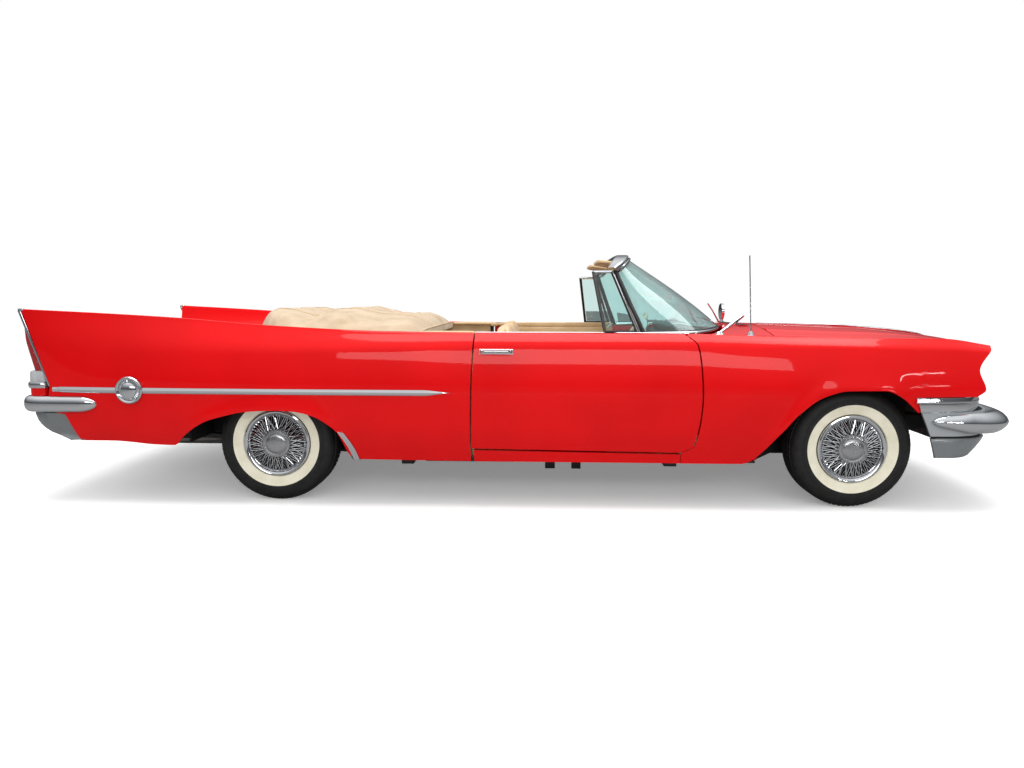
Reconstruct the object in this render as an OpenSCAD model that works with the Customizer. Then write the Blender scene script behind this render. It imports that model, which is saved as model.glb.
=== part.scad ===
// Two-door open car with tail fins, standing on its four wheels.
// X runs forward, Y to the car's left and Z up, in millimetres.

/* [Wheels] */
// Front axle, ahead of the body's middle
front_axle_x = 1816; // [1780:1:1840]
// Rear axle, behind the body's middle
rear_axle_x = 1384; // [1360:1:1410]
// Distance between the front wheels' middle planes
front_track = 1554; // [1530:1:1570]
// Distance between the rear wheels' middle planes
rear_track = 1524; // [1500:1:1540]
// Radius of the tyre, and height of the axles
tyre_r = 332; // [320:1:340]
// Width of the tyre
tyre_w = 212; // [190:1:220]
// Radius of the tyre's bead
bead_r = 186; // [180:1:190]
// Radius of the wheel cover
cover_r = 188; // [150:1:188]
// How far the wheel cover's centre cap stands out
cap_h = 20; // [10:1:26]
// Radius of the brake drum
drum_r = 140; // [110:1:150]
// Distance from the wheel's middle plane in to the steering pivot
pivot_in = 87; // [80:1:95]

/* [Body panels] */
// Thickness of the outer panels
skin_t = 12; // [8:1:16]
// Width of the shut lines
panel_gap = 8; // [6:1:10]
// Inner face of the doors, from the centre plane
door_in_y = 832; // [820:1:840]
// Height of the sill's lower edge
sill_z = 256; // [240:1:270]
// Height of the body side's widest line
mid_z = 640; // [620:1:660]
// Half the width of the hood
hood_hw = 642; // [600:1:644]
// Half the width of the boot lid
lid_hw = 692; // [650:1:694]

/* [Cabin] */
// Height of the floor's top face
floor_z = 252; // [248:1:256]
// Half the width of the front bench seat
bench_hw = 725; // [600:1:760]
// Thickness of the seat backs
back_t = 110; // [80:1:130]
// Radius of the steering wheel
helm_r = 205; // [170:1:215]
// Thickness of the steering wheel's rim
helm_t = 24; // [18:1:30]
// Height of the windscreen header's middle
header_z = 1402; // [1380:1:1420]

/* [Bumpers and trim] */
// Half the height of the front bumper's blade
blade_hh = 52; // [35:1:60]
// Half the height of the rear bumper
rear_hh = 46; // [35:1:50]
// Height of the side moulding
spear_h = 34; // [20:1:42]
// Radius of the round badge
badge_r = 76; // [55:1:90]
// Height of the aerial above the fender
aerial_h = 434; // [300:1:540]
// Radius of the head lamps
lamp_r = 73; // [60:1:80]

/* [Chassis] */
// Inner face of the frame rails, from the centre plane
rail_y = 380; // [360:1:390]
// Width of the frame rails
rail_w = 80; // [60:1:90]
// Height of the frame rails' section
rail_h = 80; // [60:1:85]
// Radius of the exhaust pipes
pipe_r = 25; // [20:1:30]
// Distance between a licence plate's bolt holes
plate_pitch = 178; // [170:1:190]
// Radius of the plate's bolt holes
plate_hole_r = 3.5; // [3:0.1:4]

/* [Hidden] */
$fn = 48;

red = [0.80, 0.05, 0.05];
chrome = [0.75, 0.76, 0.78];
silver = [0.55, 0.57, 0.60];
tan = [0.80, 0.70, 0.55];
black = [0.08, 0.08, 0.08];
cream = [0.93, 0.90, 0.80];
glass = [0.45, 0.62, 0.62, 0.4];

// Small distance that parts are seated at
seat = 0.3;

// The body side, at stations along the car. Columns: station, half width at
// the sill, at the widest line, shoulder height and half width, ridge half
// width and height, valley half width and height, inner edge half width.
Y_SILL = 1; Y_MID = 2; Z_SH = 3; Y_SH = 4; Y_TOP = 5; Z_TOP = 6;
Y_VAL = 7; Z_VAL = 8; Y_IN = 9;
side = [
    [-2768, 885, 935, 880, 934, 930, 1085, 868, 905, 700],
    [-2276, 912, 966, 850, 952, 905, 1061, 850, 925, 700],
    [-1883, 928, 980, 845, 962, 890, 1038, 838, 945, 700],
    [-1710, 930, 984, 847, 964, 888, 1024, 836, 955, 702],
    [-1690, 930, 984, 847, 964, 888, 1022, 836, 956, 800],
    [-1327, 930, 989, 850, 966, 885, 995, 838, 965, 800],
    [-718, 930, 990, 870, 962, 888, 969, 850, 958, 805],
    [-227, 930, 989, 890, 953, 893, 964, 862, 957, 832],
    [446, 930, 988, 900, 949, 893, 962, 865, 957, 832],
    [908, 930, 986, 903, 945, 890, 961, 850, 955, 822],
    [1200, 930, 983, 902, 938, 881, 953, 832, 949, 760],
    [1433, 928, 981, 898, 934, 875, 947, 812, 941, 650],
    [1816, 925, 975, 890, 926, 868, 942, 780, 930, 650],
    [2262, 905, 958, 880, 914, 860, 940, 770, 922, 650],
    [2530, 880, 935, 870, 898, 856, 905, 780, 893, 650]];

// Lower edge of each side panel: station and height
quarter_low = [[-2760, 352], [-2436, 354], [-1925, 334], [-1863, 390],
    [-1734, 473], [-1632, 504], [-1536, 526], [-1449, 535], [-1342, 539],
    [-1237, 534], [-1132, 509], [-1050, 461], [-1000, 413], [-938, 273],
    [-882, 262], [-260, 257]];
fender_low = [[876, 255], [1201, 256], [1395, 437], [1484, 541], [1607, 632],
    [1734, 666], [1928, 668], [2031, 623], [2095, 566], [2117, 548],
    [2137, 635], [2530, 635]];
door_low = [[-268, 333], [863, 319], [968, 319]];

// Edges of the side panels: height and station
quarter_rear = [[350, -2476], [503, -2546], [520, -2640], [655, -2640],
    [1085, -2760]];
door_rear = [[333, -268], [353, -270], [659, -266], [957, -253]];
door_front = [[319, 863], [353, 932], [614, 968], [775, 960], [904, 941],
    [958, 881]];
fender_front = [[635, 2470], [667, 2502], [772, 2468], [905, 2523],
    [940, 2530]];

// Centreline heights of the hood and the boot lid
hood_line = [[1440, 992], [1800, 981], [2130, 968], [2453, 937],
    [2600, 915], [2646, 893]];
hood_nose = [[0, 2646], [300, 2630], [480, 2590], [642, 2520]];
lid_line = [[-1788, 957], [-2000, 953], [-2276, 944], [-2560, 922],
    [-2670, 885], [-2712, 800], [-2726, 700], [-2728, 640]];

// Windscreen: half width, then station and height of its base and its head
glass_base = [[0, 1214, 991], [250, 1200, 990], [450, 1160, 988],
    [620, 1095, 983], [730, 1020, 977], [782, 940, 972], [803, 820, 969],
    [806, 690, 967]];
glass_head = [[0, 645, 1396], [200, 641, 1392], [350, 632, 1386],
    [470, 617, 1375], [550, 600, 1360], [596, 583, 1343], [620, 565, 1325],
    [632, 548, 1305]];
glass_bulge = 40;
glass_t = 6;

function unit(v) = v / norm(v);
function flat(a) = [for (r = a) for (p = r) p];
function at(table, k, x) = lookup(x, [for (r = table) [r[0], r[k]]]);
function half_w(x, z) = lookup(z, [
    [sill_z, at(side, Y_SILL, x)],
    [(sill_z + mid_z) / 2, at(side, Y_MID, x) - 9],
    [mid_z, at(side, Y_MID, x)],
    [at(side, Z_SH, x), at(side, Y_SH, x)],
    [at(side, Z_TOP, x), at(side, Y_TOP, x)]]);

// Closed slab between an outer and an inner grid of points
module slab(outer, inner) {
    n = len(outer);
    m = len(outer[0]);
    q = n * m;
    polyhedron(points = concat(flat(outer), flat(inner)), faces = concat(
        [for (i = [0:n - 2], j = [0:m - 2]) let (a = i * m + j, b = a + m)
            each [[a, a + 1, b + 1], [a, b + 1, b],
                [q + a, q + b + 1, q + a + 1], [q + a, q + b, q + b + 1]]],
        [for (i = [0:n - 2]) let (a = i * m, b = a + m, c = a + m - 1, d = b + m - 1)
            each [[a, b, q + b], [a, q + b, q + a],
                [d, c, q + c], [d, q + c, q + d]]],
        [for (j = [0:m - 2]) let (a = j, b = (n - 1) * m + j)
            each [[a + 1, a, q + a], [a + 1, q + a, q + a + 1],
                [b, b + 1, q + b + 1], [b, q + b + 1, q + b]]]));
}

// Closed solid through rings of points, with fan ends
module loft(rings) {
    n = len(rings);
    m = len(rings[0]);
    function mid(r) = [for (k = [0:2]) [for (p = r) p[k]] * [for (p = r) 1] / m];
    polyhedron(points = concat(flat(rings), [mid(rings[0]), mid(rings[n - 1])]),
        faces = concat(
        [for (i = [0:n - 2], j = [0:m - 1])
            let (a = i * m + j, b = i * m + (j + 1) % m)
            each [[a, b, b + m], [a, b + m, a + m]]],
        [for (j = [0:m - 1]) let (a = j, b = (j + 1) % m, e = (n - 1) * m)
            each [[b, a, n * m], [e + a, e + b, n * m + 1]]]));
}

// Bar along a path, with half widths across and up at each point
function tangent(p, i) = unit(p[min(i + 1, len(p) - 1)] - p[max(i - 1, 0)]);
function bar_ring(p, i, a, b, k) =
    let (t = tangent(p, i), n = unit(cross(t, [0, 0, 1])), u = cross(n, t))
    [for (j = [0:k - 1]) p[i] + a * cos(360 * j / k + 180 / k) * n
        + b * sin(360 * j / k + 180 / k) * u];
module bar(p, a, b, k = 8)
    loft([for (i = [0:len(p) - 1]) bar_ring(p, i, a[min(i, len(a) - 1)],
        b[min(i, len(b) - 1)], k)]);

module both() { children(); mirror([0, 1, 0]) children(); }
module sided(left) { mirror([0, left ? 1 : 0, 0]) children(); }

// One point of a side panel at a nominal station and a share of its height
function panel_x(x, z, xs, rear, front, reach) =
    let (last = xs[len(xs) - 1])
    x + max(0, 1 - (x - xs[0]) / reach) * (lookup(z, rear) - xs[0])
        + max(0, 1 - (last - x) / reach) * (lookup(z, front) - last);
function panel_point(x, s, xs, low, rear, front, reach) =
    let (z0 = lookup(x, low), z = z0 + (at(side, Z_TOP, x) - z0) * s,
        px = panel_x(x, z, xs, rear, front, reach))
    [px, -half_w(px, z), z];
function panel_side(xs, low, rear, front, reach, rows) =
    [for (x = xs) [for (j = [0:rows]) panel_point(x, j / rows, xs, low, rear,
        front, reach)]];

// A wing or quarter: the side, the ridge, then the top inwards
module wing(xs, low, rear, front, reach, rows) {
    face = panel_side(xs, low, rear, front, reach, rows);
    outer = [for (i = [0:len(xs) - 1]) let (e = face[i][rows][0]) concat(face[i], [
        [e, -at(side, Y_VAL, xs[i]), at(side, Z_VAL, xs[i])],
        [e, -at(side, Y_IN, xs[i]), at(side, Z_VAL, xs[i])]])];
    inner = [for (i = [0:len(xs) - 1]) let (e = face[i][rows],
        drop = skin_t + (at(side, Z_TOP, xs[i]) - at(side, Z_VAL, xs[i])) / 10)
        concat(
        [for (j = [0:rows - 1]) face[i][j] + [0, skin_t, 0]],
        [e + [0, skin_t - 2, -drop],
        [e[0], -at(side, Y_VAL, xs[i]) - skin_t, at(side, Z_VAL, xs[i]) - skin_t],
        [e[0], -at(side, Y_IN, xs[i]), at(side, Z_VAL, xs[i]) - skin_t]])];
    slab(outer, inner);
}

fender_xs = [876, 980, 1090, 1201, 1300, 1395, 1484, 1545, 1607, 1670, 1734,
    1830, 1928, 1980, 2031, 2095, 2117, 2137, 2262, 2380, 2460, 2530];
quarter_xs = [-2760, -2650, -2540, -2436, -2276, -2100, -1925, -1863, -1790,
    -1734, -1710, -1690, -1632, -1536, -1449, -1342, -1237, -1132, -1050, -1000,
    -938, -882, -718, -500, -274];
door_xs = [-268, -180, -20, 150, 300, 446, 600, 720, 800, 880, 968];
fender_rear = [for (r = concat([[255, 868]], door_front)) r + [0, panel_gap]];
quarter_front = [for (r = door_rear) r - [0, panel_gap]];

module front_fenders() color(red) both()
    wing(fender_xs, fender_low, fender_rear, fender_front, 320, 12);
module rear_quarters() color(red) both()
    wing(quarter_xs, quarter_low, quarter_rear, quarter_front, 700, 9);

// A door is as thick as the wall, with its rear face cut back inside
door_bevel = 22;
module door_shape() {
    face = panel_side(door_xs, door_low, door_rear, door_front, 300, 9);
    n = len(door_xs) - 1;
    inner = [for (i = [0:n]) [for (p = face[i])
        [p[0] + (i == 0 ? door_bevel : i == n ? -door_bevel / 2 : 0),
            -door_in_y, p[2] - (p[2] > at(side, Z_TOP, p[0]) - 1 ? 5 : 0)]]];
    slab(face, inner);
}
module door_right() color(red) door_shape();
module door_left() color(red) sided(true) door_shape();

// Padded panel inside a door
trim_t = 16;
module door_trim_shape() {
    translate([-225, -door_in_y + seat, 345])
        cube([1085, trim_t, 590]);
    translate([60, -door_in_y + seat + trim_t - 1, 640]) cube([420, 44, 52]);
}
module door_trim_right() color(tan) door_trim_shape();
module door_trim_left() color(tan) sided(true) door_trim_shape();

// Door handle, the chrome rail along the door's top and the vent frame
vent_foot_rear = [455, -860, 967.3];
vent_head_rear = [402, -655, 1300];
vent_foot_front = [633, -848, 966.6];
vent_head_front = [508, -648, 1302];
vent_w = 9;
handle_x = -135;
handle_z = 863;
handle_l = 172;
module door_chrome_shape() {
    hy = half_w(handle_x, handle_z);
    translate([handle_x - handle_l / 2, -hy - 26, handle_z - 11])
        cube([handle_l, 15, 22]);
    for (s = [-1, 1]) translate([handle_x + s * (handle_l / 2 - 14) - 11,
        -hy - 13, handle_z - 9]) cube([22, 12, 18]);
    bar([vent_foot_front, vent_head_front, vent_head_rear, vent_foot_rear,
        vent_foot_front + [-12, 0, 1]], [vent_w], [vent_w]);
}
module door_chrome_right() color(chrome) door_chrome_shape();
module door_chrome_left() color(chrome) sided(true) door_chrome_shape();

module vent_glass_shape() {
    a = vent_foot_rear + [11, 0, 9];
    b = vent_foot_front + [-15, 0, 9];
    c = vent_head_front + [-9, -5, -10];
    d = vent_head_rear + [11, -5, -10];
    slab([[a, d], [b, c]], [[a, d] + [[0, 5, 0], [0, 5, 0]],
        [b, c] + [[0, 5, 0], [0, 5, 0]]]);
}
module vent_glass_right() color(glass) vent_glass_shape();
module vent_glass_left() color(glass) sided(true) vent_glass_shape();

module sills() color(red) both() loft([for (s = [[-258, 322], [868, 308]])
    let (x = s[0], top = s[1]) [[x, -half_w(x, sill_z), sill_z],
        [x, -half_w(x, top), top], [x, -845.3, top], [x, -845.3, sill_z - 6]]]);

// Hood: crowned between its edges, with a turned-down nose
hood_t = 14;
hood_ys = [-1, -0.86, -0.7, -0.5, -0.3, -0.1, 0.1, 0.3, 0.5, 0.7, 0.86, 1];
hood_us = [0, 0.12, 0.26, 0.4, 0.54, 0.68, 0.8, 0.9, 0.96, 1];
function hood_point(u, v) =
    let (y = v * hood_hw, x = 1440 + u * (lookup(abs(y), hood_nose) - 1440),
        edge = at(side, Z_VAL, x), mid = lookup(x + 2646
            - lookup(abs(y), hood_nose), hood_line))
    [x, y, edge + (mid - edge) * (1 - pow(abs(v), 2.4))];
module hood() color(red) {
    top = [for (u = hood_us) [for (v = hood_ys) hood_point(u, v)]];
    slab(top, [for (r = top) [for (p = r) p - [0, 0, hood_t]]]);
}

// Boot lid: the top runs back and turns down over the tail
lid_t = 14;
lid_vs = [-1, -0.8, -0.5, -0.2, 0.2, 0.5, 0.8, 1];
lid_sag = 22;
function lid_normal(i) = let (p = lid_line, a = p[max(i - 1, 0)],
    b = p[min(i + 1, len(p) - 1)], d = unit(b - a)) [-d[1], d[0]];
module boot_lid() color(red) {
    outer = [for (i = [len(lid_line) - 1:-1:0]) let (p = lid_line[i])
        [for (v = lid_vs) [p[0] + lid_sag * v * v * (i > 3 ? 1 : 0),
            v * lid_hw, p[1] - lid_sag * v * v * (i < 4 ? 0.8 : 0.4)]]];
    inner = [for (k = [0:len(lid_line) - 1]) let (i = len(lid_line) - 1 - k,
        n = lid_normal(i)) [for (q = outer[k]) q + lid_t * [n[0], 0, n[1]]]];
    slab(outer, inner);
}

// Fixed metal round the boot opening: the strip ahead of the lid, the sill
// under it and the end panels beside the lamps
module tail_panel() color(red) {
    translate([-1782, -700.8, 942]) cube([88, 1401.6, 12]);
    translate([-2722, -702, 600]) cube([16, 1404, 18]);
    both() {
        translate([-2722, -866, 604]) cube([14, 164, 288]);
        translate([-2708, -706, 604]) cube([250, 8, 288]);
    }
}

lamp_in = 605;
lamp_out = 768;
module nose_panel() color(red) {
    difference() {
        translate([2400, -866, 640]) cube([12, 1732, 228]);
        translate([2390, -520, 650]) cube([32, 1040, 240]);
        for (y = [-lamp_out, -lamp_in, lamp_in, lamp_out]) translate([2390, y, 770])
            rotate([0, 90, 0]) cylinder(r = lamp_r + 1, h = 40);
    }
    both() {
        translate([2412, -524, 640]) cube([150, 8, 224]);
        translate([2400, -450, 460 + seat]) cube([12, 60, 180]);
    }
}

// Chrome bars and the dark mesh behind them
module grille() color(chrome) {
    for (z = [655, 700, 745, 790, 835]) translate([2470, -508, z])
        cube([90, 1016, 10]);
    for (i = [-5:5]) translate([2462, i * 84.5 - 4, 648]) cube([8, 8, 218]);
    for (s = [-1, 1]) translate([2462, s * 508 - 7.5, 648]) cube([98, 15, 218]);
}

module head_lamps() color([0.9, 0.92, 0.93])
    for (y = [-lamp_out, -lamp_in, lamp_in, lamp_out]) translate([2380, y, 770])
        rotate([0, 90, 0]) rotate_extrude()
            polygon([[0, 0], [lamp_r, 20], [lamp_r, 45], [lamp_r + 7, 46],
                [lamp_r + 7, 58], [lamp_r - 4, 64], [lamp_r - 8, 60],
                [lamp_r / 2, 68], [0, 71]]);

// Tall red lens behind the fin's edge, with the reversing lamp below it
module tail_lamps() color([0.65, 0.03, 0.04]) both() {
    loft([for (s = [[1010, -2725, -2757, 911, 917], [932, -2700, -2757, 893, 916],
        [893, -2696, -2755, 883, 915], [878, -2694, -2753, 872, 914],
        [762, -2664, -2730, 868, 914]])
        [[s[1], -s[4], s[0]], [s[2], -s[4], s[0]], [s[2], -s[3], s[0]],
            [s[1], -s[3], s[0]]]]);
}

// Chrome on the body: mouldings, badges, fin edges, lamp housings and guards
spear_t = 11;
spear_z = 642;
badge_x = -2149;
spear_xs = [-2597, -2540, -2276, -1883, -1710, -1327, -718, -480, -380];
function spear_row(x) = let (k = x > -470 ? 0.35 : x < -2590 ? 0.5 : 1,
    h = spear_h * k / 2) [[x, -half_w(x, spear_z), spear_z - h],
        [x, -half_w(x, spear_z), spear_z], [x, -half_w(x, spear_z), spear_z + h]];
module body_trim() color(chrome) both() {
    face = [for (x = spear_xs) spear_row(x)];
    slab([for (r = face) r + [[0, -4, 0], [0, -spear_t, 0], [0, -4, 0]]],
        [for (r = face) r + [[0, -1, 0], [0, -1, 0], [0, -1, 0]]]);
    translate([badge_x, -half_w(badge_x, spear_z) - 3.6, spear_z + 2])
        rotate([90, 0, 0]) difference() {
            rotate_extrude() polygon([[0, 0], [badge_r, 0], [badge_r - 6, 16],
                [badge_r - 20, 16], [badge_r - 22, 6], [34, 6], [24, 20],
                [0, 27]]);
            translate([-badge_r, -spear_h / 2 - 2.6, -1])
                cube([2 * badge_r, spear_h + 1.2, 13]);
        }
    bar([[-2771.6, -926, 1078], [-2711.6, -927, 870], [-2665.6, -928, 700],
        [-2656.6, -929, 662]], [9], [9]);
    translate([-2700, -900, 604]) difference() {
        hull() {
            translate([0, 0, 0]) cylinder(r = 32, h = 148);
            translate([-44, 6, 0]) cylinder(r = 30, h = 148);
        }
        translate([-120, -60, 46]) cube([200, 120, 8]);
    }
    slab([for (s = [[-1004, 420, -936, 268], [-972, 412, -888, 262]])
        [[s[2], -half_w(s[2], s[3]) - 7, s[3]],
            [s[0], -half_w(s[0], s[1]) - 7, s[1]]]],
        [for (s = [[-1004, 420, -936, 268], [-972, 412, -888, 262]])
        [[s[2], -half_w(s[2], s[3]) - 1, s[3]],
            [s[0], -half_w(s[0], s[1]) - 1, s[1]]]]);
}

// Front bumper: a wrap-round band over a projecting blade
band_path = [[2140, 940], [2250, 943], [2400, 925], [2500, 880], [2575, 790],
    [2625, 620], [2652, 320], [2660, 0]];
blade_path = [[2205, 955], [2350, 964], [2520, 935], [2635, 850], [2700, 715],
    [2732, 480], [2746, 240], [2750, 0]];
function run(path, z) = concat([for (p = path) [p[0], -p[1], z]],
    [for (i = [len(path) - 2:-1:0]) [path[i][0], path[i][1], z]]);
function fold(a) = concat(a, [for (i = [len(a) - 2:-1:0]) a[i]]);
module plate_holes(x, z) for (s = [-1, 1])
    translate([x, s * plate_pitch / 2, z]) rotate([0, 90, 0])
        cylinder(r = plate_hole_r, h = 200, center = true, $fn = 32);
module front_bumper() color(chrome) {
    bar(run(band_path, 575), [13], [52]);
    bar(run(blade_path, 470), fold([12, 26, 32, 34, 34, 34, 34, 34]),
        fold([14, blade_hh - 12, blade_hh, blade_hh, blade_hh, blade_hh,
            blade_hh, blade_hh]), 12);
}
rear_path = [[-2330, 972], [-2480, 976], [-2640, 969], [-2705, 915],
    [-2735, 820], [-2748, 500], [-2750, 0]];
module rear_bumper() color(chrome) mirror([0, 1, 0])
    bar(run(rear_path, 552), fold([8, 22, 26, 32, 34, 34, 34]),
        fold([16, rear_hh - 6, rear_hh, rear_hh, rear_hh, rear_hh, rear_hh]), 12);

// Painted pans under the bumpers, with the plate brackets' bolt holes
pan_t = 20;
front_pan_path = [[2240, 905], [2360, 900], [2480, 860], [2570, 760],
    [2610, 560], [2622, 0]];
rear_pan_path = [[-2460, 911.5], [-2560, 909], [-2655, 868], [-2700, 760],
    [-2712, 500], [-2716, 0]];
module lower_pans() color(silver) {
    difference() {
        loft_wall(front_pan_path, 412, 300, -30, pan_t);
        plate_holes(2600, 360);
    }
    loft_wall(rear_pan_path, 502, 358, 24, -pan_t);
}
// Curved wall through a plan path, leaning in towards its foot
module loft_wall(path, top, foot, lean, t) {
    p = run(path, 0);
    n = len(p) - 1;
    function inward(i) = let (d = tangent(p, i)) [-d[1], d[0], 0];
    loft([for (i = [0:n]) let (r = [
        p[i] + [0, 0, top], p[i] + [0, 0, (top + foot) / 2 + 10],
        p[i] + [lean, 0, foot],
        p[i] + [lean, 0, foot] + t * inward(i),
        p[i] + [0, 0, top] + t * inward(i)])
        [for (k = [0:4]) r[t > 0 ? k : 4 - k]]]);
}

// Windscreen
glass_rows = 6;
function glass_point(i, r) = let (b = glass_base[i], h = glass_head[i],
    s = r / glass_rows)
    [b[1] + (h[1] - b[1]) * s + glass_bulge * 4 * s * (1 - s) * (1 - i / 7),
        -(b[0] + (h[0] - b[0]) * s), b[2] + (h[2] - b[2]) * s];
function mirrored(rows) = concat([for (i = [len(rows) - 1:-1:0]) rows[i]],
    [for (i = [1:len(rows) - 1]) [for (p = rows[i]) [p[0], -p[1], p[2]]]]);
module windscreen_glass() color(glass) {
    half = [for (i = [0:len(glass_base) - 1])
        [for (r = [0:glass_rows]) glass_point(i, r)]];
    face = mirrored(half);
    slab(face, [for (r = face) [for (p = r) p + [-glass_t, p[1] > 0 ? -2
        : 2, 0]]]);
}
frame_r = 14;
function screen_edge(r, dx, dz) = flat([for (m = [mirrored([for (i =
    [0:len(glass_base) - 1]) [glass_point(i, r)]])]) [for (q = m)
        q[0] + [dx, 0, dz]]]);
module windscreen_frame() color(chrome) {
    base = [for (q = mirrored([for (i = [0:len(glass_base) - 1])
        [glass_point(i, 0)]])) q[0] + [-2, 0, 0.5 - frame_r]];
    head = [for (q = mirrored([for (i = [0:len(glass_head) - 1])
        [glass_point(i, glass_rows)]])) q[0] + [-12, 0, frame_r - 0.6]];
    bar(base, [frame_r], [frame_r]);
    bar(head, [24], [frame_r]);
    both() bar([[668, -799, 953], [655, -787, 990], [530, -628, 1300],
        [522, -618, 1320]], [14, 12, 12, 12], [20, 16, 16, 16]);
}

// Firewall, cowl top, the posts ahead of the doors and the rails under the
// windscreen's corners
cowl_ss = [0, 0.35, 0.7, 1];
cowl_vs = [-1, -0.8, -0.55, -0.3, 0, 0.3, 0.55, 0.8, 1];
function base_x(y) = lookup(abs(y), [for (r = glass_base) [r[0], r[1]]]);
function cowl_point(s, v) =
    let (x0 = base_x(v * 740) + frame_r + 14, x = x0 + s * (1432 - x0),
        y = v * (at(side, Y_IN, x) - panel_gap), edge = at(side, Z_VAL, x),
        z1 = edge + (992 - edge) * (1 - pow(abs(v), 2.4)),
        z0 = edge + (984 - edge) * (1 - pow(abs(v), 3)))
    [x, y, z0 + s * (z1 - z0)];
module firewall_cowl() color(red) {
    top = [for (s = cowl_ss) [for (v = cowl_vs) cowl_point(s, v)]];
    slab(top, [for (r = top) [for (p = r) p - [0, 0, 10]]]);
    difference() {
        translate([1300, 0, 0]) rotate([90, 0, 90]) linear_extrude(12) polygon(
            concat([[812, floor_z + seat], [812, 917]], [for (i = [8:-1:0])
            let (v = cowl_vs[i], x0 = base_x(v * 740) + frame_r + 14,
                p = cowl_point((1306 - x0) / (1432 - x0), v)) [p[1], p[2] - 10.6]],
            [[-812, 917], [-812, floor_z + seat]]));
        translate([1290, -160 - seat, 240]) cube([32, 320 + 2 * seat, 172 + seat]);
    }
    both() {
        translate([984, -826, floor_z + seat]) cube([328, 18, 665]);
        translate([660, -808, 895]) cube([340, 20, 45.2]);
    }
}

// Dashboard with the steering column's tube
helm_c = [760, 400, 880];
helm_tilt = 58;
module dashboard() color(red) {
    rounded_bar(787.7, [[925, 800], [930, 912], [955, 934], [1040, 937],
        [1040, 700], [985, 690]]);
    translate(helm_c) rotate([0, 180 - helm_tilt, 0]) translate([0, 0, 40])
        cylinder(r = 28, h = 165);
}

// Steering wheel: rim, two spokes and a hub, about its tilted axis
module steering_wheel() color(cream) translate(helm_c)
    rotate([0, -helm_tilt, 0]) {
        rotate_extrude() translate([helm_r - helm_t / 2, 0])
            circle(r = helm_t / 2, $fn = 24);
        for (s = [-1, 1]) translate([-14, s > 0 ? 30 : -helm_r + helm_t / 2, -7])
            cube([28, helm_r - helm_t / 2 - 30, 12]);
        translate([0, 0, -30]) cylinder(r = 36, h = 34);
    }

// Seats, each a base cushion and a leaning back
module rounded_bar(hw, pts) translate([0, hw, 0]) rotate([90, 0, 0])
    linear_extrude(2 * hw) polygon(pts);
module front_seat() color(tan) {
    rounded_bar(bench_hw, [[30, 413], [510, 413], [530, 430], [530, 505],
        [505, 545], [420, 560], [70, 530], [30, 520]]);
    both() translate([70, -660, floor_z + 10.6]) cube([400, 480, 151]);
    for (s = [-1, 1]) translate([0, s * bench_hw / 2, 0])
        rounded_bar(bench_hw / 2 - 4, [[29.7, 414], [29.7, 525], [24, 560], [-52, 930],
            [-76, 985], [-52 - back_t, 975], [-66 - back_t, 930],
            [14 - back_t, 420]]);
}
module rear_seat() color(tan) {
    rounded_bar(585, [[-720, 413], [-330, 413], [-312, 430], [-312, 480],
        [-340, 510], [-420, 520], [-690, 500], [-720, 490]]);
    both() translate([-700, -570, floor_z + seat]) cube([350, 390, 161]);
    rounded_bar(585, [[-720.3, 420], [-722, 500], [-796, 860], [-826, 905],
        [-876, 900], [-891, 860], [-826, 420]]);
}

// Padded cover over the folded roof
cover_line = [[-1688, 962], [-1640, 1022], [-1507, 1076], [-1240, 1066],
    [-967, 1080], [-780, 1040], [-640, 1000], [-568, 968]];
cover_vs = [-1, -0.9, -0.72, -0.45, -0.15, 0.15, 0.45, 0.72, 0.9, 1];
cover_hw = 799.6;
function cover_z(x, v) = 955 + (lookup(x, cover_line) - 955)
    * (1 - pow(abs(v), 4) * 0.92);
module cover_shape() {
    top = [for (p = cover_line) [for (v = cover_vs)
        [p[0], v * cover_hw, cover_z(p[0], v) + 2]]];
    slab(top, [for (r = top) [for (p = r) [p[0], p[1], 925]]]);
}
module top_cover() color(tan) cover_shape();

// Trim beside the rear seat, the carpet and the well under the cover
module cabin_trim() color(tan) {
    both() translate([0, -790, 0]) rotate([90, 0, 0]) linear_extrude(14) polygon([
        [-925, floor_z + seat], [-280, floor_z + seat], [-280, 950], [-566, 950],
        [-566, 924.7], [-925, 924.7]]);
    translate([-300, -780, floor_z + seat]) cube([1180, 600, 10]);
    translate([-300, 180, floor_z + seat]) cube([1180, 600, 10]);
}

// Floor, tunnel, boot floor and bulkheads
sheet = 10;
module floor_pan() color(silver) {
    difference() {
        union() {
            linear_extrude_at(floor_z - sheet, sheet, [[-930, -845], [1300, -845],
                [1300, 845], [-930, 845], [-930, 599], [-900, 599],
                [-900, -599], [-930, -599]]);
            translate([-980, -160, floor_z - sheet]) cube([2280, 320, 170]);
            rounded_bar(598, [[-899, 242], [-899, 252], [-1031, 530],
                [-1880, 530], [-1880, 520 + seat], [-1037, 520 + seat]]);
        }
        translate([-1000, -150, floor_z - sheet - 1]) cube([2320, 300, 161]);
    }
    translate([-1892, -598, 410 + seat]) cube([12, 1196, 500]);
    translate([-2600, -840, 410 + seat]) cube([720, 1680, sheet]);
}
module linear_extrude_at(z, h, pts) translate([0, 0, z]) linear_extrude(h)
    polygon(pts);

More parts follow.
